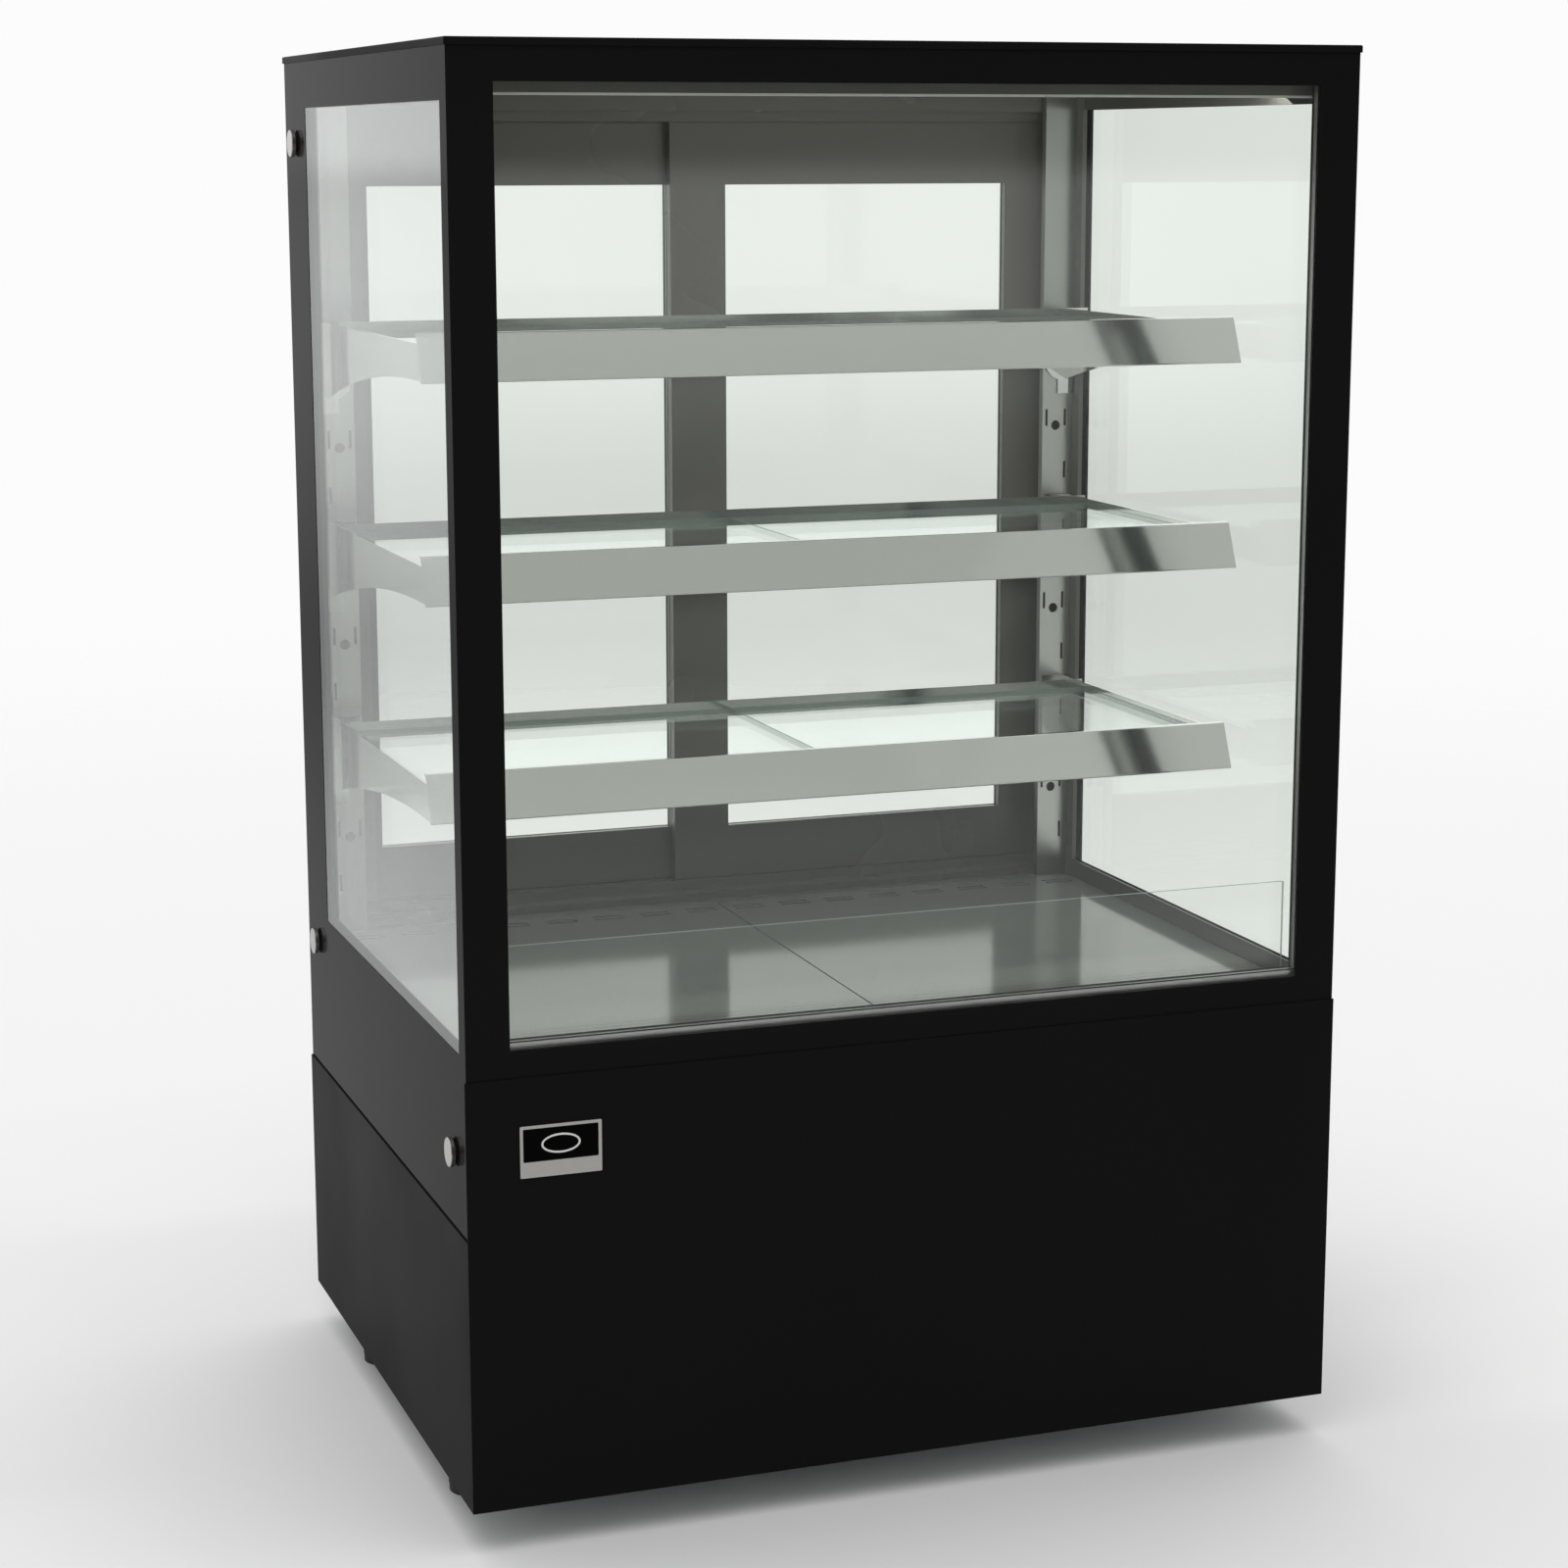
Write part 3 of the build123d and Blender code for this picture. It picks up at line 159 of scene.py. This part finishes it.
def paint(name, colour, roughness, ior=1.45, grain=900.0, peel=0.00002, variation=0.12):
    """Coated or moulded surface: slight colour drift, uneven roughness, and a fine texture if it has peel."""
    material, tree, out = new_material(name)
    space = metres(tree)
    drift = noise(tree, space, DRIFT_SCALE, 3.0)
    shader = add(tree, "ShaderNodeBsdfPrincipled", {
        "Base Color": tint(tree, drift, shade(colour, 1 - variation), shade(colour, 1 + variation)),
        "Roughness": ramp(tree, drift, NOISE_LOW, NOISE_HIGH,
                          roughness * SMOOTHEST, min(1.0, roughness * ROUGHEST)),
        "IOR": ior})
    if peel:
        grains = noise(tree, space, grain, 1.0)
        tree.links.new(bumped(tree, grains, peel, COAT_BUMP), shader.inputs["Normal"])
    tree.links.new(shader.outputs[0], out.inputs["Surface"])
    return material


def brushed(name, colour, roughness, stretch, grain=700.0, streak=0.12, depth=0.000003):
    """Brushed metal: fine streaks along one axis in colour and roughness, and in height if it has depth."""
    material, tree, out = new_material(name)
    streaks = noise(tree, metres(tree, stretch), grain, 3.0)
    cloud = noise(tree, metres(tree), CLOUD_SCALE, 2.0)
    mixed = calc(tree, "ADD", product(tree, streaks, STREAK_SHARE), product(tree, cloud, CLOUD_SHARE))
    shader = add(tree, "ShaderNodeBsdfPrincipled", {
        "Base Color": tint(tree, mixed, shade(colour, 1 - streak), shade(colour, 1 + streak)),
        "Roughness": ramp(tree, mixed, NOISE_LOW, NOISE_HIGH,
                          roughness * (1 - streak), roughness * (1 + streak)),
        "Metallic": 1.0})
    if depth:
        tree.links.new(bumped(tree, streaks, depth, BRUSH_BUMP), shader.inputs["Normal"])
    tree.links.new(shader.outputs[0], out.inputs["Surface"])
    return material


MIRROR_COLOUR = (0.95, 0.97, 0.97, 1)
SMEAR_ROUGHNESS = 0.03
SMEAR_SHARE = 0.004
EDGE_SHADE = 0.8
EDGE_BODY_SHARE = 0.45
EDGE_NORMAL = 0.5
EVEN_BLEND = 0.5
SLANT_POWER = 5.0


def glass(name, colour, facing_share, flat_axis, edge=(0.30, 0.52, 0.45)):
    """Clear pane: tinted see-through faces that mirror more at a slant, and deeper green edges."""
    material, tree, out = new_material(name)
    lean = add(tree, "ShaderNodeLayerWeight", {"Blend": EVEN_BLEND}).outputs["Facing"]
    slant = calc(tree, "POWER", lean, SLANT_POWER)
    share = calc(tree, "MULTIPLY_ADD", slant, 1 - facing_share, facing_share)
    smear = noise(tree, metres(tree), SMEAR_SCALE, 3.0)
    smeared = tint(tree, smear, shade(colour, 1 - SMEAR_SHARE), shade(colour, 1 + SMEAR_SHARE))
    clear = add(tree, "ShaderNodeBsdfTransparent", {"Color": smeared}).outputs[0]
    smear_blur = ramp(tree, smear, NOISE_LOW, NOISE_HIGH, 0.0, SMEAR_ROUGHNESS)
    mirror = add(tree, "ShaderNodeBsdfGlossy", {"Color": MIRROR_COLOUR, "Roughness": smear_blur}).outputs[0]
    face = add(tree, "ShaderNodeMixShader", {0: share, 1: clear, 2: mirror}).outputs[0]
    body = add(tree, "ShaderNodeBsdfDiffuse", {"Color": (*shade(edge, EDGE_SHADE), 1)}).outputs[0]
    deep = add(tree, "ShaderNodeBsdfTransparent", {"Color": (*edge, 1)}).outputs[0]
    rim = add(tree, "ShaderNodeMixShader", {0: EDGE_BODY_SHARE, 1: deep, 2: body}).outputs[0]
    normal = add(tree, "ShaderNodeNewGeometry").outputs["Normal"]
    across = add(tree, "ShaderNodeSeparateXYZ", {0: normal}).outputs[flat_axis]
    on_edge = calc(tree, "LESS_THAN", calc(tree, "ABSOLUTE", across), EDGE_NORMAL)
    whole = add(tree, "ShaderNodeMixShader", {0: on_edge, 1: face, 2: rim}).outputs[0]
    tree.links.new(whole, out.inputs["Surface"])
    return material


# ---------------------------------------------------------------- studio

FLOOR_HALF = 14.0
FLOOR_COLOUR = (0.72, 0.72, 0.72)
FLOOR_SOLID = 1.6
FLOOR_GONE = 6.5
BACKDROP = 0.973
# Painted shade on the backdrop seen through the case's panes: dimmer overall and darker towards the bottom.
PAINTED_SHADE_BEHIND_GLASS = (0.78, 0.93)
GLASS_DEPTH = 3.5
HORIZON = -0.012
STUDIO_BASE = 0.06
OVERHEAD = 1.65
BEHIND = 1.15
SIDE_BOX = 0.55
FRONT_CARD = 0.58
FRONT_FLOOR = (0.41, 1.0)
BACK_FLOOR = 0.42
BACK_LEFT_FLOOR = 0.75
PATCH_SCALE = 5.0
PATCH_DIMMEST = 0.55
LAMP_POWER = 3.0
LAMP_SIZE = (0.50, 0.10)
LAMP_PLACE = (0.20, -0.24, 1.345)
LAMP_TILT = 25
LAMP_COLOUR = (1.0, 0.99, 0.96)
PANES_SEEN_THROUGH = 32
BOUNCES = 12


def make_floor():
    """A pale floor that fades into the white backdrop away from the case."""
    mesh = bpy.data.meshes.new("floor")
    corners = [(x * FLOOR_HALF, y * FLOOR_HALF, 0) for x, y in ((-1, -1), (1, -1), (1, 1), (-1, 1))]
    mesh.from_pydata(corners, [], [(0, 1, 2, 3)])
    floor = bpy.data.objects.new("floor", mesh)
    scene.collection.objects.link(floor)
    material, tree, out = new_material("floor")
    space = metres(tree)
    away = add(tree, "ShaderNodeVectorMath", {0: space}, operation="LENGTH").outputs["Value"]
    matt = add(tree, "ShaderNodeBsdfDiffuse", {"Color": (*FLOOR_COLOUR, 1)}).outputs[0]
    clear = add(tree, "ShaderNodeBsdfTransparent").outputs[0]
    fade = ramp(tree, away, FLOOR_SOLID, FLOOR_GONE)
    faded = add(tree, "ShaderNodeMixShader", {0: fade, 1: matt, 2: clear}).outputs[0]
    tree.links.new(faded, out.inputs["Surface"])
    mesh.materials.append(material)


def studio_light(tree, direction):
    """Strength of the light from a unit direction: soft boxes above the horizon, a lit floor below it."""
    x, y, z = add(tree, "ShaderNodeSeparateXYZ", {0: direction}).outputs
    front = ramp(tree, y, 0.1, -0.5)
    above = ramp(tree, z, HORIZON, 0.0)
    below = calc(tree, "SUBTRACT", 1.0, above)
    overhead = ramp(tree, z, 0.66, 0.95, 0.0, OVERHEAD)
    behind = ramp(tree, y, 0.0, 0.8, 0.0, BEHIND)
    left = ramp(tree, x, -0.35, -0.95, 0.0, SIDE_BOX)
    right = ramp(tree, x, 0.35, 0.95, 0.0, SIDE_BOX)
    card = product(tree, ramp(tree, z, 0.10, 0.40, 0.0, FRONT_CARD), front)
    total = STUDIO_BASE
    for light in (overhead, behind, left, right, card):
        total = calc(tree, "ADD", light, total)
    low_front = ramp(tree, z, -0.092, -0.05, *FRONT_FLOOR)
    patches = ramp(tree, noise(tree, direction, PATCH_SCALE, 1.0), 0.42, 0.60, PATCH_DIMMEST, 1.0)
    back_left = product(tree, ramp(tree, x, -0.05, -0.2), ramp(tree, z, -0.19, -0.06), patches)
    low_back = calc(tree, "MULTIPLY_ADD", back_left, BACK_LEFT_FLOOR, BACK_FLOOR)
    low = add(tree, "ShaderNodeMix", {"Factor": front, "A": low_back, "B": low_front}).outputs[0]
    return calc(tree, "ADD", product(tree, total, above), product(tree, low, below))


def make_light():
    """A white backdrop, painted a little dimmer where it is seen through several panes and darker towards the
    bottom there (painted shade), and soft studio light round the case.
    """
    world = bpy.data.worlds.new("studio")
    scene.world = world
    world.use_nodes = True
    tree = world.node_tree
    tree.nodes.clear()
    direction = add(tree, "ShaderNodeTexCoord").outputs["Generated"]
    path = add(tree, "ShaderNodeLightPath").outputs
    behind_glass = calc(tree, "GREATER_THAN", path["Transparent Depth"], GLASS_DEPTH)
    height = add(tree, "ShaderNodeSeparateXYZ", {0: direction}).outputs[2]
    # Painted shade: the backdrop behind the glass grows darker towards the bottom.
    dimmed = product(tree, ramp(tree, height, -0.12, -0.03, *PAINTED_SHADE_BEHIND_GLASS), BACKDROP)
    far = add(tree, "ShaderNodeMix", {"Factor": behind_glass, "A": BACKDROP, "B": dimmed}).outputs[0]
    white = (1, 1, 1, 1)
    lit = add(tree, "ShaderNodeBackground", {"Color": white, "Strength": studio_light(tree, direction)})
    plain = add(tree, "ShaderNodeBackground", {"Color": white, "Strength": far})
    seen = path["Is Camera Ray"]
    both = add(tree, "ShaderNodeMixShader", {0: seen, 1: lit.outputs[0], 2: plain.outputs[0]})
    add(tree, "ShaderNodeOutputWorld", {"Surface": both.outputs[0]})
    scene.view_settings.view_transform = "Standard"
    scene.cycles.transparent_max_bounces = PANES_SEEN_THROUGH
    scene.cycles.max_bounces = BOUNCES


def make_lamp_glow():
    """Soft light from the case's own lamp, which shows neither itself nor a mirror image."""
    glow = bpy.data.lights.new("lamp_glow", "AREA")
    glow.shape = "RECTANGLE"
    glow.size, glow.size_y = LAMP_SIZE
    glow.energy = LAMP_POWER
    glow.color = LAMP_COLOUR
    lamp = bpy.data.objects.new("lamp_glow", glow)
    scene.collection.objects.link(lamp)
    lamp.location = LAMP_PLACE
    lamp.rotation_euler = (math.radians(LAMP_TILT), 0, 0)
    lamp.visible_camera = False
    lamp.visible_glossy = False


# ---------------------------------------------------------------- materials of the CAD nodes

ALONG_X = (0.02, 1, 1)
ALONG_Z = (1, 1, 0.02)
EVEN = (1, 1, 1)


def finish_nodes():
    """Gives every CAD node its material."""
    black = paint("black_powder_coat", (0.0082, 0.0078, 0.0078), 0.38, ior=1.06, grain=700.0, peel=0.00001)
    printed = paint("black_ceramic_print", (0.0085, 0.0082, 0.0082), 0.10, ior=1.05, grain=300.0,
                    peel=0.000002)
    front = glass("front_glass", (0.985, 0.992, 0.984), 0.016, 1, edge=(0.55, 0.60, 0.58))
    side = glass("side_glass", (0.975, 0.988, 0.976), 0.016, 0)
    shelf = glass("shelf_glass", (0.985, 0.995, 0.988), 0.02, 2, edge=(0.62, 0.72, 0.68))
    door = glass("door_glass", (0.975, 0.988, 0.974), 0.02, 1)
    steel = brushed("brushed_stainless", (0.62, 0.63, 0.60), 0.10, ALONG_X, streak=0.03, depth=0.0)
    upright = brushed("brushed_upright", (0.60, 0.61, 0.58), 0.30, ALONG_Z, streak=0.04, depth=0.0)
    deck = paint("polished_deck", (0.12, 0.123, 0.116), 0.11, ior=1.28, peel=0.0, variation=0.02)
    cap = brushed("turned_stainless", (0.36, 0.35, 0.33), 0.22, ALONG_Z, streak=0.04, depth=0.0)
    liner = paint("dark_grey_liner", (0.105, 0.101, 0.092), 0.30, ior=1.4, peel=0.0, variation=0.03)
    frames = paint("dark_grey_frame", (0.105, 0.101, 0.092), 0.26, ior=1.4, peel=0.0, variation=0.03)
    zinc = brushed("galvanised_steel", (0.52, 0.54, 0.55), 0.45, EVEN, grain=60.0, streak=0.2)
    chosen = {
        black: ["front_panel", "left_base_panel", "right_base_panel", "roof_panel"],
        printed: ["printed_borders"],
        front: ["front_pane_outer", "front_pane_inner", "riser_glass"],
        side: ["left_side_glass", "right_side_glass"],
        shelf: ["shelf_1_glass", "shelf_2_glass", "shelf_3_glass"],
        door: ["door_left_glass", "door_right_glass"],
        steel: ["shelf_1_frame", "shelf_2_frame", "shelf_3_frame", "riser_channel"],
        upright: ["uprights"],
        deck: ["deck_tray_left", "deck_tray_right"],
        cap: ["glass_knobs", "badge_plate"],
        liner: ["ceiling_liner", "insulated_tub", "lamp_body"],
        paint("dark_lip", (0.06, 0.058, 0.053), 0.35, ior=1.4, peel=0.0, variation=0.03): ["inner_lips"],
        frames: ["rear_frame", "door_left_frame", "door_right_frame", "door_tracks"],
        zinc: ["base_pan", "corner_posts", "glass_rails", "drain_pan", "condenser_fan_plate",
               "evaporator_fan_plate"],
        paint("frosted_lens", (0.62, 0.62, 0.60), 0.5): ["lamp_diffuser"],
        brushed("spacer_aluminium", (0.42, 0.42, 0.41), 0.4, ALONG_X): ["front_spacer"],
        paint("black_rubber", (0.02, 0.02, 0.02), 0.75): [
            "foot_front_left", "foot_front_right", "foot_rear_left", "foot_rear_right", "compressor_mounts"],
        paint("black_grille", (0.02, 0.02, 0.02), 0.45): ["rear_grille"],
        brushed("screw_steel", (0.62, 0.62, 0.60), 0.25, EVEN): ["grille_screws"],
        paint("black_plastic", (0.022, 0.022, 0.023), 0.42, grain=1500.0): [
            "cable_gland", "control_panel", "temperature_controller", "power_rocker", "light_rocker",
            "door_left_pull", "door_right_pull"],
        paint("fan_plastic", (0.03, 0.03, 0.033), 0.5): ["condenser_fan", "evaporator_fan"],
        paint("compressor_enamel", (0.012, 0.012, 0.012), 0.2, ior=1.5, grain=120.0, peel=0.0001): [
            "compressor"],
        brushed("coil_aluminium", (0.70, 0.72, 0.73), 0.35, ALONG_Z): ["condenser_coil", "evaporator_coil"],
        brushed("drawn_copper", (0.72, 0.40, 0.26), 0.28, ALONG_X): ["refrigerant_pipes"],
    }
    for material, names in chosen.items():
        for name in names:
            slots = nodes[name].data.materials
            slots.clear()
            slots.append(material)
    left_out = sorted(set(nodes) - {name for names in chosen.values() for name in names})
    assert not left_out, left_out


# ---------------------------------------------------------------- small pieces that the frame leaves out


def rounded_outline(cx, cz, half_x, half_z, radius, steps=6):
    """Points round a rectangle with rounded corners."""
    points = []
    for turn, (sx, sz) in enumerate(((1, 1), (-1, 1), (-1, -1), (1, -1))):
        for step in range(steps + 1):
            angle = math.radians(90 * (turn + step / steps))
            points.append((cx + sx * (half_x - radius) + radius * math.cos(angle),
                           cz + sz * (half_z - radius) + radius * math.sin(angle)))
    return points


BEVEL_SHARE = 0.3


def plate_rings(cx, cz, half_x, half_z, radius, y_back, y_front, edge):
    """Rings of a rounded plate that faces along Y, with a softened front edge."""
    step = math.copysign(edge, y_front - y_back)
    section = ((y_back, 0.0), (y_front - step, 0.0),
               (y_front - step * BEVEL_SHARE, edge * BEVEL_SHARE), (y_front, edge))
    rings = []
    for y, inset in section:
        outline = rounded_outline(cx, cz, half_x - inset, half_z - inset, radius - inset)
        rings.append([(x, y, z) for x, z in outline])
    return rings


def turned_rings(centre, axis, profile, steps=48):
    """Rings of a turned shape; the profile gives the radius and the distance along X, Y or Z."""
    rings = []
    for radius, along in profile:
        ring = []
        for index in range(steps):
            angle = 2 * math.pi * index / steps
            across = [radius * math.cos(angle), radius * math.sin(angle)]
            offset = across[:axis] + [along] + across[axis:]
            ring.append(tuple(c + o for c, o in zip(centre, offset)))
        rings.append(ring)
    return rings


def frame_rings(x0, x1, z0, z1, section):
    """Rings of a bar that runs round a rectangle in an XZ plane; the section gives inset and Y."""
    corners = ((x0, z0, 1, 1), (x1, z0, -1, 1), (x1, z1, -1, -1), (x0, z1, 1, -1))
    return [[(x + sx * inset, y, z + sz * inset) for x, z, sx, sz in corners] for inset, y in section]


def piece(name, parts, material, body="cabinet"):
    """A mesh piece made of closed skins, each given as (rings, ring_shaped), that rides on a body."""
    made = bmesh.new()
    for rings, ring_shaped in parts:
        rows = [[made.verts.new(point) for point in ring] for ring in rings]
        pairs = list(zip(rows, rows[1:]))
        if ring_shaped:
            pairs.append((rows[-1], rows[0]))
        for low_row, high_row in pairs:
            for index in range(len(low_row)):
                after = (index + 1) % len(low_row)
                made.faces.new((low_row[index], low_row[after], high_row[after], high_row[index]))
        if not ring_shaped:
            made.faces.new(rows[0][::-1])
            made.faces.new(rows[-1])
    bmesh.ops.recalc_face_normals(made, faces=made.faces)
    mesh = bpy.data.meshes.new(name)
    made.to_mesh(mesh)
    made.free()
    mesh.materials.append(material)
    shown = bpy.data.objects.new(name, mesh)
    scene.collection.objects.link(shown)
    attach(shown, body)
    return shown


FIELD_FLOOR = 0.0006
FIELD_MARGIN = 0.0032
FIELD_START = 0.3
FIELD_TOP = 0.003
FIELD_GAP = 0.0002
FIELD_CORNER = 0.0012
FIELD_SUNK = 0.0001
FIELD_THICK = 0.0004
FIELD_EDGE = 0.0003
OVAL_HALF_X = 0.019
OVAL_HALF_Z = 0.0095
OVAL_STEPS = 64
OVAL_SECTION = ((1.0, 0.0004), (1.0, 0.00052), (0.90, 0.00052), (0.90, 0.0004))


def badge_pieces():
    """Black enamel in the badge's field with a plain oval ring on it."""
    low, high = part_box("badge_plate")
    floor_y = low.y + FIELD_FLOOR
    cx = (low.x + high.x) / 2
    z0 = low.z + FIELD_START * (high.z - low.z)
    z1 = high.z - FIELD_TOP
    cz = (z0 + z1) / 2
    half_x = (high.x - low.x) / 2 - FIELD_MARGIN
    half_z = (z1 - z0) / 2 - FIELD_GAP
    enamel = paint("badge_enamel", (0.0012, 0.0012, 0.0012), 0.12, ior=1.08, grain=400.0, peel=0.000002)
    field = plate_rings(cx, cz, half_x, half_z, FIELD_CORNER,
                        floor_y + FIELD_SUNK, floor_y - FIELD_THICK, FIELD_EDGE)
    piece("badge_enamel_field", [(field, False)], enamel)
    angles = [2 * math.pi * index / OVAL_STEPS for index in range(OVAL_STEPS)]
    rings = []
    for scale, lift in OVAL_SECTION:
        oval_x = OVAL_HALF_X * scale
        oval_z = OVAL_HALF_Z - OVAL_HALF_X * (1 - scale)
        rings.append([(cx + oval_x * math.cos(a), floor_y - lift, cz + oval_z * math.sin(a)) for a in angles])
    silver = brushed("badge_silver", (0.62, 0.62, 0.60), 0.25, ALONG_X, streak=0.05, depth=0.0000005)
    piece("badge_oval_ring", [(rings, True)], silver)


KNOB_PLACES = ((0.300, 1.310), (0.300, 0.450), (-0.300, 0.383))
WASHER_SECTION = ((0.0072, 0.0), (0.0092, 0.0), (0.0095, 0.0003), (0.0092, 0.0007), (0.0072, 0.0007))


def knob_washers():
    """Thin black washers between the print and the round glass fixings."""
    rubber = paint("washer_nylon", (0.10, 0.098, 0.092), 0.5)
    face_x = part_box("printed_borders")[1].x
    for side in (-1, 1):
        for index, (y, z) in enumerate(KNOB_PLACES):
            profile = [(radius, side * along) for radius, along in WASHER_SECTION]
            rings = turned_rings((side * face_x, y, z), 0, profile)
            name = ("left" if side < 0 else "right") + f"_knob_washer_{index + 1}"
            piece(name, [(rings, True)], rubber)


SPACER_WIDTH = 0.010
BEAD = 0.0014
BEAD_SECTION = ((0.0, 0.0), (0.8, 0.0), (1.0, 0.0006), (0.5, 0.0016), (0.0, 0.0018))


def spacer_sealant():
    """Lines of black butyl between the aluminium spacer and each of the two front panes."""
    spacer_low, spacer_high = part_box("front_spacer")
    x1 = spacer_high.x - SPACER_WIDTH
    z0 = spacer_low.z + SPACER_WIDTH
    z1 = spacer_high.z - SPACER_WIDTH
    butyl = paint("black_butyl", (0.01, 0.01, 0.01), 0.6)
    lines = []
    for y_glass, inwards in ((spacer_low.y, 1), (spacer_high.y, -1)):
        section = [(BEAD * share, y_glass + inwards * up) for share, up in BEAD_SECTION]
        lines.append((frame_rings(-x1, x1, z0, z1, section), True))
    piece("spacer_butyl", lines, butyl)


SEGMENTS = {"a": (0, 1, True), "b": (0.5, 0.5, False), "c": (0.5, -0.5, False), "d": (0, -1, True),
            "f": (-0.5, 0.5, False), "g": (0, 0, True)}
DIGITS = {"4": "bcfg", "5": "acdfg"}
DIGIT_START = 0.030
DIGIT_STEP = 0.011
DIGIT_WIDTH = 0.0066
DIGIT_RISE = 0.0048
SEGMENT_ACROSS = 0.0026
SEGMENT_UP = 0.0020
SEGMENT_THIN = 0.0006
SEGMENT_CORNER = 0.0005
SEGMENT_SUNK = 0.0001
SEGMENT_PROUD = 0.0003
SEGMENT_EDGE = 0.0002
WINDOW_DEPTH = 0.0006
DISPLAY_RED = (1.0, 0.06, 0.03, 1)


def display_digits():
    """Lit seven-segment digits in the controller's window, which are read from behind the case."""
    low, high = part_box("temperature_controller")
    glow, tree, out = new_material("display_red")
    strength = ramp(tree, noise(tree, metres(tree), 60.0, 1.0), NOISE_LOW, NOISE_HIGH, 0.9, 1.1)
    light = add(tree, "ShaderNodeEmission", {"Color": DISPLAY_RED, "Strength": strength}).outputs[0]
    tree.links.new(light, out.inputs["Surface"])
    y = high.y - WINDOW_DEPTH
    middle_z = (low.z + high.z) / 2
    parts = []
    for place, digit in enumerate("45"):
        middle_x = low.x + DIGIT_START - place * DIGIT_STEP
        for name in DIGITS[digit]:
            right, up, flat = SEGMENTS[name]
            cx = middle_x - right * DIGIT_WIDTH
            cz = middle_z + up * DIGIT_RISE
            half_x, half_z = (SEGMENT_ACROSS, SEGMENT_THIN) if flat else (SEGMENT_THIN, SEGMENT_UP)
            rings = plate_rings(cx, cz, half_x, half_z, SEGMENT_CORNER,
                                y - SEGMENT_SUNK, y + SEGMENT_PROUD, SEGMENT_EDGE)
            parts.append((rings, False))
    piece("controller_digits", parts, glow)


BUMPER_PROFILE = ((0.0042, -0.0019), (0.0042, -0.0008), (0.0034, -0.0002), (0.0028, 0.0))
BUMPER_SHARES = (0.08, 0.5, 0.92)
BUMPER_INSET = 0.006


def shelf_pads():
    """Clear bumpers that the shelf glass lies on, six to a pane, on the brackets' ledges."""
    soft = paint("clear_bumper", (0.55, 0.57, 0.56), 0.35)
    for level in (1, 2, 3):
        low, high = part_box(f"shelf_{level}_glass")
        parts = []
        for side in (-1, 1):
            for share in BUMPER_SHARES:
                centre = (side * (high.x - BUMPER_INSET), low.y + share * (high.y - low.y), low.z)
                parts.append((turned_rings(centre, 2, BUMPER_PROFILE, 24), False))
        piece(f"shelf_{level}_bumpers", parts, soft, f"shelf_{level}")


TREAD_COUNT = 4
TREAD_START = 0.008
TREAD_STEP = 0.006
TREAD_SECTION = ((-0.0008, 0.0), (0.0006, 0.0006), (0.0006, 0.0024), (-0.0008, 0.003))


def foot_treads():
    """Ribbed rings round the feet's pads."""
    rubber = paint("tread_rubber", (0.018, 0.018, 0.018), 0.8, grain=1800.0)
    for corner in ("front_left", "front_right", "rear_left", "rear_right"):
        low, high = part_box(f"foot_{corner}")
        centre = ((low.x + high.x) / 2, (low.y + high.y) / 2, 0.0)
        radius = (high.x - low.x) / 2
        parts = []
        for index in range(TREAD_COUNT):
            z = TREAD_START + index * TREAD_STEP
            profile = [(radius + out, z + up) for out, up in TREAD_SECTION]
            parts.append((turned_rings(centre, 2, profile, 64), True))
        piece(f"foot_{corner}_tread", parts, rubber, f"foot_{corner}")


CAP_INSIDE = 0.0006
CAP_OUTSIDE = 0.0004
CAP_EDGE = 0.0003
CAP_CORNER = 0.0015


def lamp_caps():
    """Moulded caps on the two ends of the lamp."""
    grey = paint("lamp_cap_plastic", (0.10, 0.097, 0.09), 0.4)
    low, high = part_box("lamp_body")
    strip_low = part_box("lamp_diffuser")[0]
    cy = (low.y + high.y) / 2
    cz = (strip_low.z + high.z) / 2
    half_y = (high.y - low.y) / 2
    half_z = (high.z - strip_low.z) / 2
    for side in (-1, 1):
        x0 = side * (high.x - CAP_INSIDE)
        x1 = side * high.x + side * CAP_OUTSIDE
        rings = []
        for x, inset in ((x0, 0.0), (x1 - side * CAP_EDGE, 0.0), (x1, CAP_EDGE)):
            outline = rounded_outline(cy, cz, half_y - inset, half_z - inset, CAP_CORNER, 3)
            rings.append([(x, y, z) for y, z in outline])
        piece(("left" if side < 0 else "right") + "_lamp_cap", [(rings, False)], grey)


HEAD_RADIUS = 0.0045
CROSS_LONG = 0.0024
CROSS_THIN = 0.0005
CROSS_CORNER = 0.0004
CROSS_SUNK = 0.0005
CROSS_PROUD = 0.0001


def screw_recesses():
    """Cross recesses in the heads of the grille's screws, drawn as thin near-black plates: painted shade
    where the steel recess is.
    """
    # The crosses' near-black colour is painted shade in the recesses.
    dark = paint("screw_recess_shade", (0.02, 0.02, 0.02), 0.5)
    low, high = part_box("grille_screws")
    y = high.y
    x = high.x - HEAD_RADIUS
    z0 = low.z + HEAD_RADIUS
    z1 = high.z - HEAD_RADIUS
    parts = []
    for side in (-1, 1):
        for z in (z0, (z0 + z1) / 2, z1):
            for half_x, half_z in ((CROSS_LONG, CROSS_THIN), (CROSS_THIN, CROSS_LONG)):
                rings = plate_rings(side * x, z, half_x, half_z, CROSS_CORNER,
                                    y - CROSS_SUNK, y + CROSS_PROUD, CROSS_PROUD)
                parts.append((rings, False))
    piece("grille_screw_cross_shades", parts, dark)


make_camera()
make_floor()
make_light()
make_lamp_glow()
finish_nodes()
badge_pieces()
knob_washers()
spacer_sealant()
display_digits()
shelf_pads()
foot_treads()
lamp_caps()
screw_recesses()
